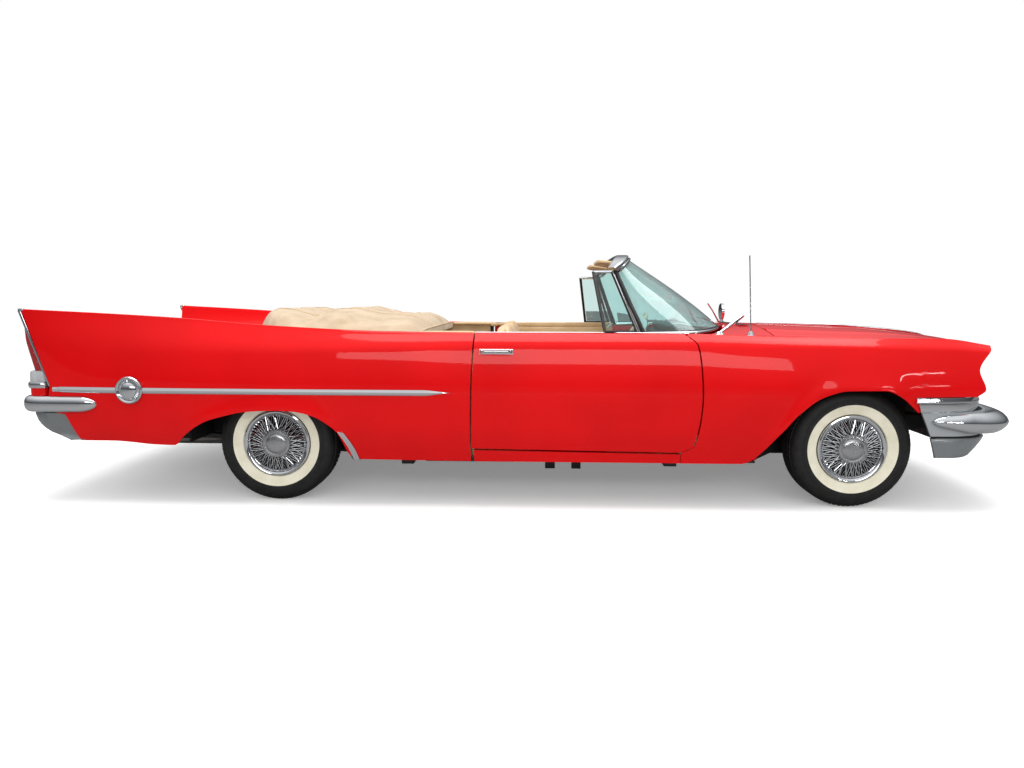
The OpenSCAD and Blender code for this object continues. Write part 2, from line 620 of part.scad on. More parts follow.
// Wheelhouses: boxes open to the wheels, and the front inner wings
module wheelhouses() color(black) both() {
    translate([0, -600, 0]) rotate([90, 0, 0]) linear_extrude(10) polygon([
        [-1862, 345], [-1862, 765], [-930, 765], [-930, floor_z + seat],
        [-960, floor_z + seat], [-1200, 330], [-1270, 420], [-1500, 420],
        [-1570, 345]]);
    translate([-940, -900, floor_z + seat]) cube([10, 300, 512]);
    translate([-1862, -935, 755]) cube([932, 335, 10]);
    translate([-1862, -900, 345]) cube([10, 300, 420]);
    translate([0, -470, 0]) rotate([90, 0, 0]) linear_extrude(10) polygon([
        [1312.3, 290], [1312.3, 870], [2282, 870], [2282, 290], [1960, 290],
        [1960, 470], [1672, 470], [1672, 290]]);
    translate([1312.3, -850, 290]) cube([10, 380, 580]);
    translate([1312.3, -662, 860]) cube([950, 192, 10]);
    translate([0, -652, 0]) rotate([90, 0, 0]) linear_extrude(10) polygon([
        [1440, 862], [1440, 928.5], [1816, 917.7], [2262, 909.7], [2262, 862]]);
}

// Frame rails rise over the rear axle, with cross members and jacking pads
module rail() translate([0, -rail_y, 0]) rotate([90, 0, 0])
    linear_extrude(rail_w) polygon([[-2600, 330], [-1840, 330],
        [-1700, 440], [-1080, 440], [-960, 240 - rail_h], [1380, 240 - rail_h],
        [1500, 240 - rail_h + 60], [2150, 240 - rail_h + 60], [2300, 380],
        [2560, 380], [2560, 380 + rail_h], [2270, 380 + rail_h],
        [2120, 300], [1470, 300], [1350, 240], [-905, 240],
        [-1040, 440 + rail_h], [-1735, 440 + rail_h], [-1875, 330 + rail_h],
        [-2600, 330 + rail_h]]);
module chassis_frame() color(black) {
    both() {
        rail();
        translate([-2614, -rail_y - rail_w, 330]) cube([14, rail_w, 228]);
        translate([-2714.7, -rail_y - rail_w, 546]) cube([114.7, rail_w, 12]);
        translate([2559, -rail_y - rail_w + 10, 430]) cube([141.6, 60, 30]);
        translate([2612, -rail_y - rail_w + 10, 412.4]) cube([15.7, 60, 178]);
        for (x = [-700, 820]) translate([x, -rail_y - rail_w - 260, 190])
            cube([70, 260, 50]);
        translate([138, -rail_y - rail_w, 110]) cube([60, 40, 52]);
        translate([300, -rail_y - rail_w, 110]) cube([56, 40, 52]);
    }
    for (c = [[-2540, 345, 50], [-860, 200, 40], [160, 200, 40], [2400, 390, 50]])
        translate([c[0], -rail_y, c[1]]) cube([90, 2 * rail_y, c[2]]);
    translate([1740, -rail_y, 190]) cube([150, 2 * rail_y, 110 - seat]);
}

// Engine, gearbox and radiator, as plain blocks
module engine() color([0.35, 0.37, 0.36]) {
    translate([1400, -230, 300]) cube([700, 460, 400]);
    translate([1450, -310, 520]) cube([580, 620, 230]);
    translate([1740, 0, 740]) cylinder(r = 170, h = 90);
    translate([960, 0, 308]) rotate([0, 90, 0]) cylinder(r = 88, h = 442);
    translate([2412.4, -330, 440 + seat]) cube([44, 660, 400]);
}

// Front arms and rear leaf springs
module running_gear() color(black) both() {
    px = front_axle_x;
    py = front_track / 2 - pivot_in;
    for (z = [[tyre_r - 100, 18], [tyre_r + 88.3, 14]]) hull() {
        translate([px, -py, z[0]]) cylinder(r = 26, h = z[1]);
        for (s = [-1, 1]) translate([px + s * 110, -rail_y - rail_w - 13, z[0]])
            cylinder(r = 12, h = z[1]);
    }
    translate([px, -560, tyre_r - 90]) cylinder(r = 55, h = 184);
    translate([px - 60, -rail_y - rail_w - 22, 240]) cube([120, 21.7, 200]);
    translate([0, -530, 0]) rotate([90, 0, 0]) linear_extrude(60) polygon([
        [-2080, 340], [-2060, 325], [-1384, 258], [-760, 205], [-740, 215],
        [-760, 227], [-1384, 289.7], [-2060, 352]]);
    translate([-790, -590, 190]) cube([70, 129.7, 24]);
    translate([-2090, -590, 352]) cube([60, 129.7, 58]);
}

// Rear axle, its drums and the propeller shaft
module rear_axle() color(black) {
    translate([-rear_axle_x, 0, tyre_r]) {
        rotate([90, 0, 0]) cylinder(r = 42, h = 1380, center = true);
        sphere(r = 135);
        both() translate([0, -rear_track / 2 + 74, 0]) rotate([90, 0, 0])
            cylinder(r = drum_r, h = 124);
    }
    translate([-rear_axle_x + 120, 0, tyre_r - 10]) rotate([0, 90, 0])
        cylinder(r = 34, h = 2212);
}

// Twin exhaust: front pipes, silencers and tail pipes over the axle
module exhaust() color([0.5, 0.5, 0.52]) both() {
    bar([[1500, -254.4, 312], [1420, -258, 300], [1330, -300, 214],
        [1200, -300, 172], [300, -300, 170], [-100, -300, 170],
        [-900, -300, 172], [-1060, -300, 280], [-1180, -300, 466],
        [-1384, -300, 488], [-1600, -310, 456], [-1780, -490, 300],
        [-1900, -490, 287], [-2100, -490, 280]], [pipe_r], [pipe_r], 10);
    translate([-620, -300, 174]) rotate([0, 90, 0]) cylinder(r = 60, h = 560);
    translate([-350, -308, 220]) cube([24, 16, floor_z - sheet - 220 - seat]);
    translate([-2300, -490, 280]) rotate([0, 90, 0])
        cylinder(r = pipe_r, h = 200);
}

module fuel_tank() color(black)
    translate([-2400, -330, 220]) cube([690, 660, 190]);

// Aerial, mirrors and wipers
module fender_fittings() color(chrome) {
    ax = 1254;
    ay = -826;
    az = at(side, Z_TOP, ax) - 2.2;
    translate([ax, ay, az]) {
        cylinder(r1 = 20, r2 = 9, h = 26);
        rotate([0, -3, 0]) cylinder(r = 3, h = aerial_h, $fn = 16);
    }
    translate([1081, -846, at(side, Z_TOP, 1081) - 1]) {
        cylinder(r1 = 26, r2 = 14, h = 18);
        bar([[0, 0, 12], [40, 0, 40], [80, 0, 72], [124, 0, 106]],
            [10, 12, 12, 8], [6, 9, 12, 8]);
    }
    translate([1496, 820, at(side, Z_TOP, 1496) - 2.5]) {
        cylinder(r1 = 24, r2 = 9, h = 60);
        translate([-12, 0, 108]) rotate([0, 90, 0]) cylinder(r = 62, h = 20);
    }
    for (s = [[-300, 987.4], [300, 983.6]])
        bar([[1240, s[0] + 60, s[1]], [1212, s[0] + 40, 1010],
            [1142, s[0] - 90, 1080], [1088, s[0] - 200, 1122]],
            [7, 6, 4, 4], [5, 5, 4, 4]);
}

// Wheels
module on_axle(front, left)
    translate([front ? front_axle_x : -rear_axle_x,
        (left ? 1 : -1) * (front ? front_track : rear_track) / 2, tyre_r])
        rotate([left ? -90 : 90, 0, 0]) children();
module tyre_shape() {
    w = tyre_w / 2;
    rotate_extrude($fn = 72) polygon([[bead_r, -w + 36], [bead_r + 14, -w + 14],
        [tyre_r - 77, -w], [tyre_r - 32, -w + 8], [tyre_r - 10, -w + 28],
        [tyre_r, -w + 46], [tyre_r, w - 46], [tyre_r - 10, w - 28],
        [tyre_r - 32, w - 8], [tyre_r - 77, w], [bead_r + 14, w - 14],
        [bead_r, w - 36], [bead_r + 8, w - 60], [bead_r + 8, -w + 60]]);
}
module wheel_shape() {
    w = tyre_w / 2;
    r = bead_r - seat;
    rotate_extrude() polygon([[0, 60], [146, 60], [165, 42],
        [165, -w + 32], [r, -w + 32], [r, w - 28], [cover_r, w - 14],
        [cover_r - 3, w - 6], [cover_r - 22, w - 4], [128, w - 20],
        [66, w - 14], [52, w - 10 + cap_h / 2], [30, w - 10 + cap_h],
        [0, w - 8 + cap_h]]);
}
module tyre_front_right() color(black) on_axle(true, false) tyre_shape();
module tyre_front_left() color(black) on_axle(true, true) tyre_shape();
module tyre_rear_right() color(black) on_axle(false, false) tyre_shape();
module tyre_rear_left() color(black) on_axle(false, true) tyre_shape();
module wheel_front_right() color(chrome) on_axle(true, false) wheel_shape();
module wheel_front_left() color(chrome) on_axle(true, true) wheel_shape();
module wheel_rear_right() color(chrome) on_axle(false, false) wheel_shape();
module wheel_rear_left() color(chrome) on_axle(false, true) wheel_shape();

// Knuckle: steering post, brake drum and the arm for the track rod
module knuckle_shape() {
    on_axle(true, false) {
        translate([0, 0, -56]) cylinder(r = drum_r, h = 110);
        translate([0, 0, -pivot_in]) cylinder(r = 40, h = pivot_in - 50);
    }
    translate([front_axle_x, -front_track / 2 + pivot_in, tyre_r - 81.7])
        cylinder(r = 24, h = 169.7);
}
module knuckle_right() color(black) knuckle_shape();
module knuckle_left() color(black) sided(true) knuckle_shape();

chassis_frame();
floor_pan();
firewall_cowl();
wheelhouses();
front_fenders();
rear_quarters();
sills();
nose_panel();
tail_panel();
lower_pans();
front_bumper();
rear_bumper();
grille();
head_lamps();
tail_lamps();
body_trim();
windscreen_frame();
windscreen_glass();
dashboard();
front_seat();
rear_seat();
top_cover();
cabin_trim();
engine();
running_gear();
rear_axle();
exhaust();
fuel_tank();
fender_fittings();
hood();
boot_lid();
door_right();
door_trim_right();
door_chrome_right();
vent_glass_right();
door_left();
door_trim_left();
door_chrome_left();
vent_glass_left();
knuckle_right();
knuckle_left();
steering_wheel();
tyre_front_right();
tyre_front_left();
tyre_rear_right();
tyre_rear_left();
wheel_front_right();
wheel_front_left();
wheel_rear_right();
wheel_rear_left();
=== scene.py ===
"""Looks of a two-door open car with tail fins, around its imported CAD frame.

X runs forward, Y to the car's left, Z up. The shape tables are in millimetres.
"""
import math

import bmesh
import bpy
import numpy as np
from mathutils import Euler, Matrix, Vector, noise


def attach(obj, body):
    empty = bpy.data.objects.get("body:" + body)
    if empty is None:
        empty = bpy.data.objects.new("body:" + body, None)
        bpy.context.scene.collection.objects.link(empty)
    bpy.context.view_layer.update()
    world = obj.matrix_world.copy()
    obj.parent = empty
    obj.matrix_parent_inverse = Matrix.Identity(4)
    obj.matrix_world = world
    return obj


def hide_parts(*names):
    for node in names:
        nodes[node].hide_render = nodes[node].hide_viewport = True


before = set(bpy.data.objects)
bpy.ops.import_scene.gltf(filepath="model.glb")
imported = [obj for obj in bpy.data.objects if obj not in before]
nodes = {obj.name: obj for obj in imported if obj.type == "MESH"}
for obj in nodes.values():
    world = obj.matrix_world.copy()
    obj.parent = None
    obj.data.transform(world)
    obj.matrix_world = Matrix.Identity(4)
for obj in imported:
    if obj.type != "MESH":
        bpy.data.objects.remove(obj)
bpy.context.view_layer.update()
MM = 0.001

# ---------------------------------------------------------------- materials


def linear(code):
    """Linear colour of an sRGB hex code such as "C81018"."""
    parts = [int(code[i:i + 2], 16) / 255 for i in (0, 2, 4)]
    return [c / 12.92 if c <= 0.04045 else ((c + 0.055) / 1.055) ** 2.4 for c in parts] + [1]


def add(tree, kind, inputs=None, **settings):
    """Adds a node; inputs are socket values or the sockets linked to them."""
    made = tree.nodes.new(kind)
    for key, value in settings.items():
        setattr(made, key, value)
    for key, value in (inputs or {}).items():
        socket = made.inputs[key]
        if isinstance(value, bpy.types.NodeSocket):
            tree.links.new(value, socket)
        else:
            socket.default_value = value
    return made


def material(name, code, rough=0.5, metal=0.0, **shader_values):
    """A Principled material with its shader and tree at hand."""
    made = bpy.data.materials.new(name)
    made.use_nodes = True
    tree = made.node_tree
    tree.nodes.clear()
    values = {"Base Color": linear(code), "Roughness": rough, "Metallic": metal}
    values.update({k.replace("_", " "): v for k, v in shader_values.items()})
    shader = add(tree, "ShaderNodeBsdfPrincipled", values)
    out = add(tree, "ShaderNodeOutputMaterial", {"Surface": shader.outputs["BSDF"]})
    return made, tree, shader, out


def object_coords(tree, stretch=(1, 1, 1)):
    where = add(tree, "ShaderNodeTexCoord")
    return add(tree, "ShaderNodeMapping", {"Vector": where.outputs["Object"],
               "Scale": stretch}).outputs["Vector"]


def bands(tree, scale, axis):
    """Straight bands across an axis of the object."""
    return add(tree, "ShaderNodeTexWave", {"Vector": object_coords(tree), "Scale": scale},
               bands_direction=axis).outputs["Fac"]


def pits(tree, scale):
    """Cells like the pores of hide or the loops of a carpet."""
    return add(tree, "ShaderNodeTexVoronoi", {"Vector": object_coords(tree),
               "Scale": scale}).outputs["Distance"]


def grain(tree, size_mm, detail=3.0, stretch=(1, 1, 1)):
    """Noise whose grains are about size_mm across."""
    return add(tree, "ShaderNodeTexNoise", {"Vector": object_coords(tree, stretch),
               "Scale": 1 / (size_mm * MM), "Detail": detail}).outputs["Fac"]


def vary(tree, shader, fac, low, high, lo=0.35, hi=0.65):
    """Base colour that drifts between two hex colours with fac."""
    ramp = add(tree, "ShaderNodeValToRGB", {"Fac": fac})
    ramp.color_ramp.elements[0].position = lo
    ramp.color_ramp.elements[1].position = hi
    ramp.color_ramp.elements[0].color = linear(low)
    ramp.color_ramp.elements[1].color = linear(high)
    tree.links.new(ramp.outputs["Color"], shader.inputs["Base Color"])


def spread_rough(tree, shader, fac, low, high):
    span = add(tree, "ShaderNodeMapRange", {"Value": fac, "From Min": 0.3, "From Max": 0.7,
               "To Min": low, "To Max": high})
    tree.links.new(span.outputs["Result"], shader.inputs["Roughness"])


def bump(tree, shader, height, depth_mm, coat=False):
    made = add(tree, "ShaderNodeBump", {"Height": height, "Distance": depth_mm * MM,
               "Strength": 1.0})
    tree.links.new(made.outputs["Normal"], shader.inputs["Normal"])
    if coat:
        tree.links.new(made.outputs["Normal"], shader.inputs["Coat Normal"])


# Acrylic enamel, sprayed and polished: a deep even red under a wet-looking clear skin,
# with the faintest orange peel.
enamel, t, s, _ = material("acrylic_enamel_red", "D8060C", 0.4, Coat_Weight=0.7,
                           Coat_Roughness=0.03, Coat_IOR=1.33, Specular_IOR_Level=0.06)
vary(t, s, grain(t, 400, 1), "CC0509", "D5060B")
spread_rough(t, s, grain(t, 60, 2), 0.3, 0.38)
bump(t, s, grain(t, 9, 1), 0.012, coat=True)

# Chromium plate on steel: a bright cool mirror with slight polishing haze.
chrome, t, s, _ = material("chromium_plate", "D6D9DC", 0.07, 1.0)
spread_rough(t, s, grain(t, 45, 4), 0.045, 0.11)
bump(t, s, grain(t, 120, 2), 0.15)

# Stamped chrome of the badges and wheel hubs: duller, pitted by age.
satin_chrome, t, s, _ = material("stamped_chrome", "B9BBBD", 0.2, 1.0)
spread_rough(t, s, grain(t, 6, 4), 0.14, 0.36)
bump(t, s, grain(t, 5, 4), 0.5)

# Brushed stainless of the bumper's skirt: light grey, satin, drawn in fine lines.
brushed, t, s, _ = material("brushed_stainless_steel", "A9ADAF", 0.34, 0.35)
vary(t, s, grain(t, 6, 3, (0.1, 0.1, 6)), "A2A6A9", "B3B7B9")
bump(t, s, grain(t, 2, 2, (0.1, 0.1, 8)), 0.03)

# Blackened chrome behind the wires of the wheel covers.
dark_chrome, t, s, _ = material("blackened_chrome", "1B1C1E", 0.28, 1.0)
spread_rough(t, s, grain(t, 14, 3), 0.2, 0.4)

# Aluminium-flake enamel on the pans: silver grey that glitters finely.
silver, t, s, _ = material("aluminium_flake_enamel", "85898B", 0.38, 0.55, Coat_Weight=0.6,
                           Coat_Roughness=0.08)
vary(t, s, grain(t, 1.5, 2), "7C8083", "8D9193")

# Chassis enamel, brushed on thick: black with a soft sheen and road dust.
chassis_black, t, s, _ = material("chassis_enamel_black", "121314", 0.45)
vary(t, s, grain(t, 90, 5), "0D0E0F", "1F1F1E")
bump(t, s, grain(t, 12, 3), 0.3)

# Sprayed undercoat in the wheel wells: dull black with a coarse pebble.
undercoat, t, s, _ = material("bitumen_undercoat", "0A0A0A", 0.85)
bump(t, s, grain(t, 8, 4), 1.2)

# Primed sheet steel of the floor: dark grey, matt.
floor_steel, t, s, _ = material("primed_sheet_steel", "2B2C2E", 0.6)
vary(t, s, grain(t, 150, 5), "242527", "353534")
bump(t, s, grain(t, 20, 3), 0.3)

# Tyre rubber, moulded: near black, dry, with fine grain and dust in the low places.
rubber, t, s, _ = material("tyre_rubber", "121212", 0.62)
vary(t, s, grain(t, 40, 5), "0E0E0F", "191918")
bump(t, s, grain(t, 2.5, 3), 0.12)

# Whitewall rubber: warm cream, satin, a little uneven where it was scrubbed.
whitewall, t, s, _ = material("whitewall_rubber", "E4DFC9", 0.5)
vary(t, s, grain(t, 70, 4), "DDD8C0", "EAE5D1")
bump(t, s, grain(t, 3, 2), 0.06)

# Black weatherstrip and hoses: soft matt rubber.
strip_rubber, t, s, _ = material("weatherstrip_rubber", "0D0E0F", 0.55)
bump(t, s, grain(t, 4, 2), 0.15)

# Safety glass with a sea-green tint: clear, deeper where seen through at a slant.
glass, t, s, _ = material("tinted_safety_glass", "CFEAE8", 0.0, Transmission_Weight=1.0, IOR=1.5)
spread_rough(t, s, grain(t, 200, 2), 0.0, 0.015)

# Pressed lamp glass: clear with upright flutes.
lamp_glass, t, s, _ = material("pressed_lamp_glass", "E9F0F2", 0.03, Transmission_Weight=0.75,
                               IOR=1.5, Coat_Weight=1.0)
bump(t, s, bands(t, 32.0, "Y"), 1.2)

# Moulded red acrylic of the tail lenses: deep red, glossy, ribbed inside.
red_lens, t, s, _ = material("moulded_red_acrylic", "A80E16", 0.08, Transmission_Weight=0.25,
                             IOR=1.49, Coat_Weight=1.0)
bump(t, s, bands(t, 26.0, "Z"), 1.0)

# Clear acrylic of the reversing lamp.
clear_lens, t, s, _ = material("moulded_clear_acrylic", "D5D8DC", 0.1, Transmission_Weight=0.4,
                               IOR=1.49, Coat_Weight=1.0)
bump(t, s, bands(t, 40.0, "Z"), 1.0)

# Amber acrylic of the parking lamps.
amber_lens, t, s, _ = material("moulded_amber_acrylic", "D98A1E", 0.1, Transmission_Weight=0.3,
                               IOR=1.49, Coat_Weight=1.0)
bump(t, s, grain(t, 7, 1), 0.6)

# Dyed hide of the bench seats: warm tan, pebbled, a little glossier where it is sat on.
leather, t, s, _ = material("dyed_cowhide_tan", "C6A67C", 0.5, Sheen_Weight=0.08)
vary(t, s, grain(t, 160, 4), "BE9D72", "CFB189")
bump(t, s, pits(t, 230.0), 0.6)
spread_rough(t, s, grain(t, 120, 3), 0.42, 0.6)

# Padded dash hide: nearly black green, grained, with a dull sheen.
dash_hide, t, s, _ = material("padded_dash_hide", "1E2625", 0.45)
vary(t, s, grain(t, 80, 4), "1A2121", "252E2D")
bump(t, s, grain(t, 3, 3), 0.3)

# Woven top cloth of the cover: pale buff canvas with a visible weave and soft sheen.
cloth, t, s, _ = material("woven_top_cloth", "BBA68A", 0.82, Sheen_Weight=0.12)
vary(t, s, grain(t, 130, 5), "A99377", "BBA78D")
weave = add(t, "ShaderNodeMath", {0: bands(t, 130.0, "X"), 1: bands(t, 130.0, "Y")},
            operation="MULTIPLY")
bump(t, s, weave.outputs["Value"], 0.5)

# Sewn binding tape at the cover's edge: the same buff, darker and tighter.
binding, t, s, _ = material("cotton_binding_tape", "B99E77", 0.8, Sheen_Weight=0.2)
bump(t, s, grain(t, 3, 2), 0.4)

# Loop-pile carpet: brown-tan, deep and matt.
carpet, t, s, _ = material("loop_pile_carpet", "8D7553", 0.95, Sheen_Weight=0.3)
loops = pits(t, 260.0)
vary(t, s, loops, "6E5A3E", "A18763", 0.1, 0.8)
bump(t, s, loops, 3.0)

# Vinyl-covered side trim: tan, lightly embossed.
trim_vinyl, t, s, _ = material("embossed_vinyl_tan", "BFA27A", 0.55)
vary(t, s, grain(t, 90, 4), "B69970", "C7AB84")
bump(t, s, grain(t, 4, 3), 0.5)

# Cast cream phenolic of the steering wheel and knobs.
cream_plastic, t, s, _ = material("cast_cream_phenolic", "E6DCC2", 0.25, Coat_Weight=0.5)
vary(t, s, grain(t, 60, 3), "E0D5B9", "ECE3CC")

# Black dial faces and pads.
black_plastic, t, s, _ = material("moulded_black_plastic", "151617", 0.4)
bump(t, s, grain(t, 2.5, 2), 0.15)

# White printed marks on the dials.
dial_paint, t, s, _ = material("screened_white_ink", "E8E8E2", 0.5)
vary(t, s, grain(t, 3, 2), "DEDED8", "F0F0EA")

# Engine enamel over cast iron: grey-green, oily in the hollows.
engine_enamel, t, s, _ = material("engine_enamel_on_cast_iron", "6A706A", 0.42)
vary(t, s, grain(t, 60, 5), "4A4E4A", "757B75")
bump(t, s, grain(t, 5, 4), 0.6)

# Bare cast iron of drums and arms: brown-grey, rough.
cast_iron, t, s, _ = material("bare_cast_iron", "3A3633", 0.7, 0.5)
vary(t, s, grain(t, 30, 5), "2B2826", "4C443D")
bump(t, s, grain(t, 4, 4), 0.6)

# Aluminised exhaust steel with heat colour along it.
exhaust_steel, t, s, _ = material("aluminised_exhaust_steel", "8B8884", 0.38, 0.85)
vary(t, s, grain(t, 220, 5), "6F675F", "9C9A97")
bump(t, s, grain(t, 6, 3), 0.3)

# Terne-plated fuel tank: dull grey metal.
tank_metal, t, s, _ = material("terne_plated_steel", "5B5D5F", 0.5, 0.6)
vary(t, s, grain(t, 50, 5), "515355", "686A6B")
bump(t, s, grain(t, 15, 3), 0.3)

# Silvered looking-glass of the mirrors.
mirror_glass, t, s, _ = material("silvered_mirror_glass", "E2E6E8", 0.02, 1.0)
spread_rough(t, s, grain(t, 50, 2), 0.01, 0.04)

# Blackened core behind the grille and at the radiator: dull metal with level fins.
dark_mesh, t, s, _ = material("blackened_radiator_core", "0C0D0E", 0.5, 0.4)
bump(t, s, bands(t, 60.0, "Z"), 2.0)

# ---------------------------------------------------------------- shapes, in millimetres


def curve(pairs):
    """Smooth value at any place through (place, value) pairs, with no overshoot."""
    x, y = np.array(list(pairs), float).T
    h = np.diff(x)
    d = np.diff(y) / h
    m = np.empty_like(x)
    m[0], m[-1] = d[0], d[-1]
    for i in range(1, len(x) - 1):
        level = d[i - 1] * d[i] <= 0
        m[i] = 0 if level else 2 * d[i - 1] * d[i] / (d[i - 1] + d[i])

    def at(place):
        p = min(max(place, x[0]), x[-1])
        i = min(int(np.searchsorted(x, p, side="right")) - 1, len(h) - 1)
        s = (p - x[i]) / h[i]
        return ((2 * s ** 3 - 3 * s ** 2 + 1) * y[i] + (s ** 3 - 2 * s ** 2 + s) * h[i] * m[i]
                + (3 * s ** 2 - 2 * s ** 3) * y[i + 1] + (s ** 3 - s ** 2) * h[i] * m[i + 1])
    return at


def line(pairs):
    """Straight-line value at any place through (place, value) pairs."""
    x, y = np.array(list(pairs), float).T
    return lambda place: float(np.interp(place, x, y))


def through(points, count):
    """count points spaced evenly along a smooth line through points."""
    p = np.array(points, float)
    run = np.concatenate([[0], np.cumsum(np.linalg.norm(np.diff(p, axis=0), axis=1))])
    axes = [curve(zip(run, p[:, k])) for k in range(p.shape[1])]
    return np.array([[a(s) for a in axes] for s in np.linspace(0, run[-1], count)])


def across_car(half, count):
    """Smooth line across the car from its right half, which ends on the middle."""
    return through(half + [[x, -y, z] for x, y, z in half[-2::-1]], count)


def boxier(value, power):
    """Sine or cosine bent towards a box."""
    return math.copysign(abs(value) ** power, value)


def spot_at(move, degrees, axis):
    """Matrix that turns about an axis and then moves."""
    return Matrix.Translation(move) @ Matrix.Rotation(math.radians(degrees), 4, axis)


def slab(outer, inner):
    """Closed wall between two grids of points."""
    a, b = np.array(outer, float), np.array(inner, float)
    n, m = a.shape[:2]
    q = n * m
    faces = []
    for i in range(n - 1):
        for j in range(m - 1):
            k = i * m + j
            faces.append((k, k + 1, k + m + 1, k + m))
            faces.append((q + k, q + k + m, q + k + m + 1, q + k + 1))
    for i in range(n - 1):
        k, e = i * m, i * m + m - 1
        faces.append((k, k + m, q + k + m, q + k))
        faces.append((e + m, e, q + e, q + e + m))
    for j in range(m - 1):
        e = (n - 1) * m + j
        faces.append((j + 1, j, q + j, q + j + 1))
        faces.append((e, e + 1, q + e + 1, q + e))
    return np.vstack([a.reshape(-1, 3), b.reshape(-1, 3)]), faces


def loft(rings, closed=False):
    """Closed solid through rings of points; closed joins the last ring to the first."""
    r = np.array(rings, float)
    n, m = r.shape[:2]
    faces = [(i * m + j, i * m + (j + 1) % m, (i + 1) % n * m + (j + 1) % m, (i + 1) % n * m + j)
             for i in range(n if closed else n - 1) for j in range(m)]
    points = r.reshape(-1, 3)
    if not closed:
        faces += [tuple(reversed(range(m))), tuple((n - 1) * m + j for j in range(m))]
    return points, faces


def bar(path, across, up, sides=16, square=2.0, level=True):
    """Bar along path with half widths across and up; square 2 is an ellipse, more is boxier."""
    p = np.array(path, float)
    n = len(p)
    wide = np.interp(np.linspace(0, 1, n), np.linspace(0, 1, np.size(across)), np.ravel(across))
    high = np.interp(np.linspace(0, 1, n), np.linspace(0, 1, np.size(up)), np.ravel(up))
    rings = []
    side = None
    for i in range(n):
        t = p[min(i + 1, n - 1)] - p[max(i - 1, 0)]
        t /= np.linalg.norm(t)
        if level or side is None:
            ref = np.array([0, 0, 1.0]) if abs(t[2]) < 0.95 else np.array([1.0, 0, 0])
            side = np.cross(t, ref)
        side = side - t * (side @ t)
        side /= np.linalg.norm(side)
        top = np.cross(side, t)
        ring = []
        for j in range(sides):
            a = 2 * math.pi * (j + 0.5) / sides
            c, s = math.cos(a), math.sin(a)
            ring.append(p[i] + wide[i] * boxier(c, 2 / square) * side
                        + high[i] * boxier(s, 2 / square) * top)
        rings.append(ring)
    return loft(rings)


def lathe(profile, steps=64):
    """Solid turned about Z from (radius, height) points; a radius of 0 closes it."""
    p = np.array(profile, float)
    points, faces, rows = [], [], []
    for r, h in p:
        if r < 1e-6:
            rows.append([len(points)] * steps)
            points.append((0, 0, h))
        else:
            rows.append(list(range(len(points), len(points) + steps)))
            points += [(r * math.cos(2 * math.pi * k / steps),
                        r * math.sin(2 * math.pi * k / steps), h) for k in range(steps)]
    if p[0][0] > 1e-6 and p[-1][0] > 1e-6:
        rows.append(rows[0])
    for a, b in zip(rows, rows[1:]):
        for k in range(steps):
            f = [a[k], a[(k + 1) % steps], b[(k + 1) % steps], b[k]]
            f = [v for i, v in enumerate(f) if v not in f[:i]]
            if len(f) > 2:
                faces.append(tuple(f))
    return np.array(points, float), faces


def block(lo, hi, chamfer=2.0):
    """Box with chamfered edges."""
    lo, hi = np.array(lo, float), np.array(hi, float)
    mid, half = (lo + hi) / 2, (hi - lo) / 2
    c = min(chamfer, *(half * 0.45))
    rings = []
    for z, inset in ((-half[2], c), (-half[2] + c, 0), (half[2] - c, 0), (half[2], c)):
        x, y = half[0] - inset, half[1] - inset
        rings.append([(x - c, -y, z), (x, -y + c, z), (x, y - c, z), (x - c, y, z),
                      (-x + c, y, z), (-x, y - c, z), (-x, -y + c, z), (-x + c, -y, z)])
    points, faces = loft(rings)
    return points + mid, faces


def extruded(outline, lo, hi, axis=1):
    """Prism over a closed outline, from lo to hi along an axis (0 X, 1 Y, 2 Z)."""
    rings = [[np.insert(np.array(p, float), axis, level) for p in outline] for level in (lo, hi)]
    return loft(rings)


def pillow(half, cells=(24, 24, 10), square=5.0, crown=0.0):
    """Cushion about the origin: a rounded closed box whose broad faces swell by crown."""
    points, faces, index = [], [], {}

    def spot(u, v, w):
        key = (round(u, 5), round(v, 5), round(w, 5))
        if key not in index:
            index[key] = len(points)
            p = np.array([u, v, w], float)
            size = (np.abs(p) ** square).sum() ** (1 / square)
            q = p / size * np.array(half)
            swell = crown * (1 - min(1, abs(q[0] / half[0])) ** 2) * (
                1 - min(1, abs(q[1] / half[1])) ** 2)
            q[2] += math.copysign(swell, q[2]) * min(1, abs(q[2] / half[2]) * 1.2)
            points.append(q)
        return index[key]
    for axis in range(3):
        a, b = [k for k in range(3) if k != axis]
        for sign in (-1, 1):
            us = np.linspace(-1, 1, cells[a] + 1)
            vs = np.linspace(-1, 1, cells[b] + 1)
            for i in range(cells[a]):
                for j in range(cells[b]):
                    face = []
                    for di, dj in ((0, 0), (1, 0), (1, 1), (0, 1)):
                        p = [0, 0, 0]
                        p[axis], p[a], p[b] = sign, us[i + di], vs[j + dj]
                        face.append(spot(*p))
                    faces.append(tuple(face))
    return np.array(points), faces


def placed(part, move=(0, 0, 0), turn=(0, 0, 0), matrix=None):
    """The part turned by degrees about X, Y, Z and then moved."""
    points, faces = part
    m = matrix or (Matrix.Translation(move)
                   @ Euler([math.radians(a) for a in turn]).to_matrix().to_4x4())
    a = np.array(m, float)
    return points @ a[:3, :3].T + a[:3, 3], faces


def mirrored(part):
    points, faces = part
    return points * [1, -1, 1], [tuple(reversed(f)) for f in faces]


def both(*parts):
    return [q for p in parts for q in (p, mirrored(p))]


SIDES = (("right", lambda part: part), ("left", mirrored))


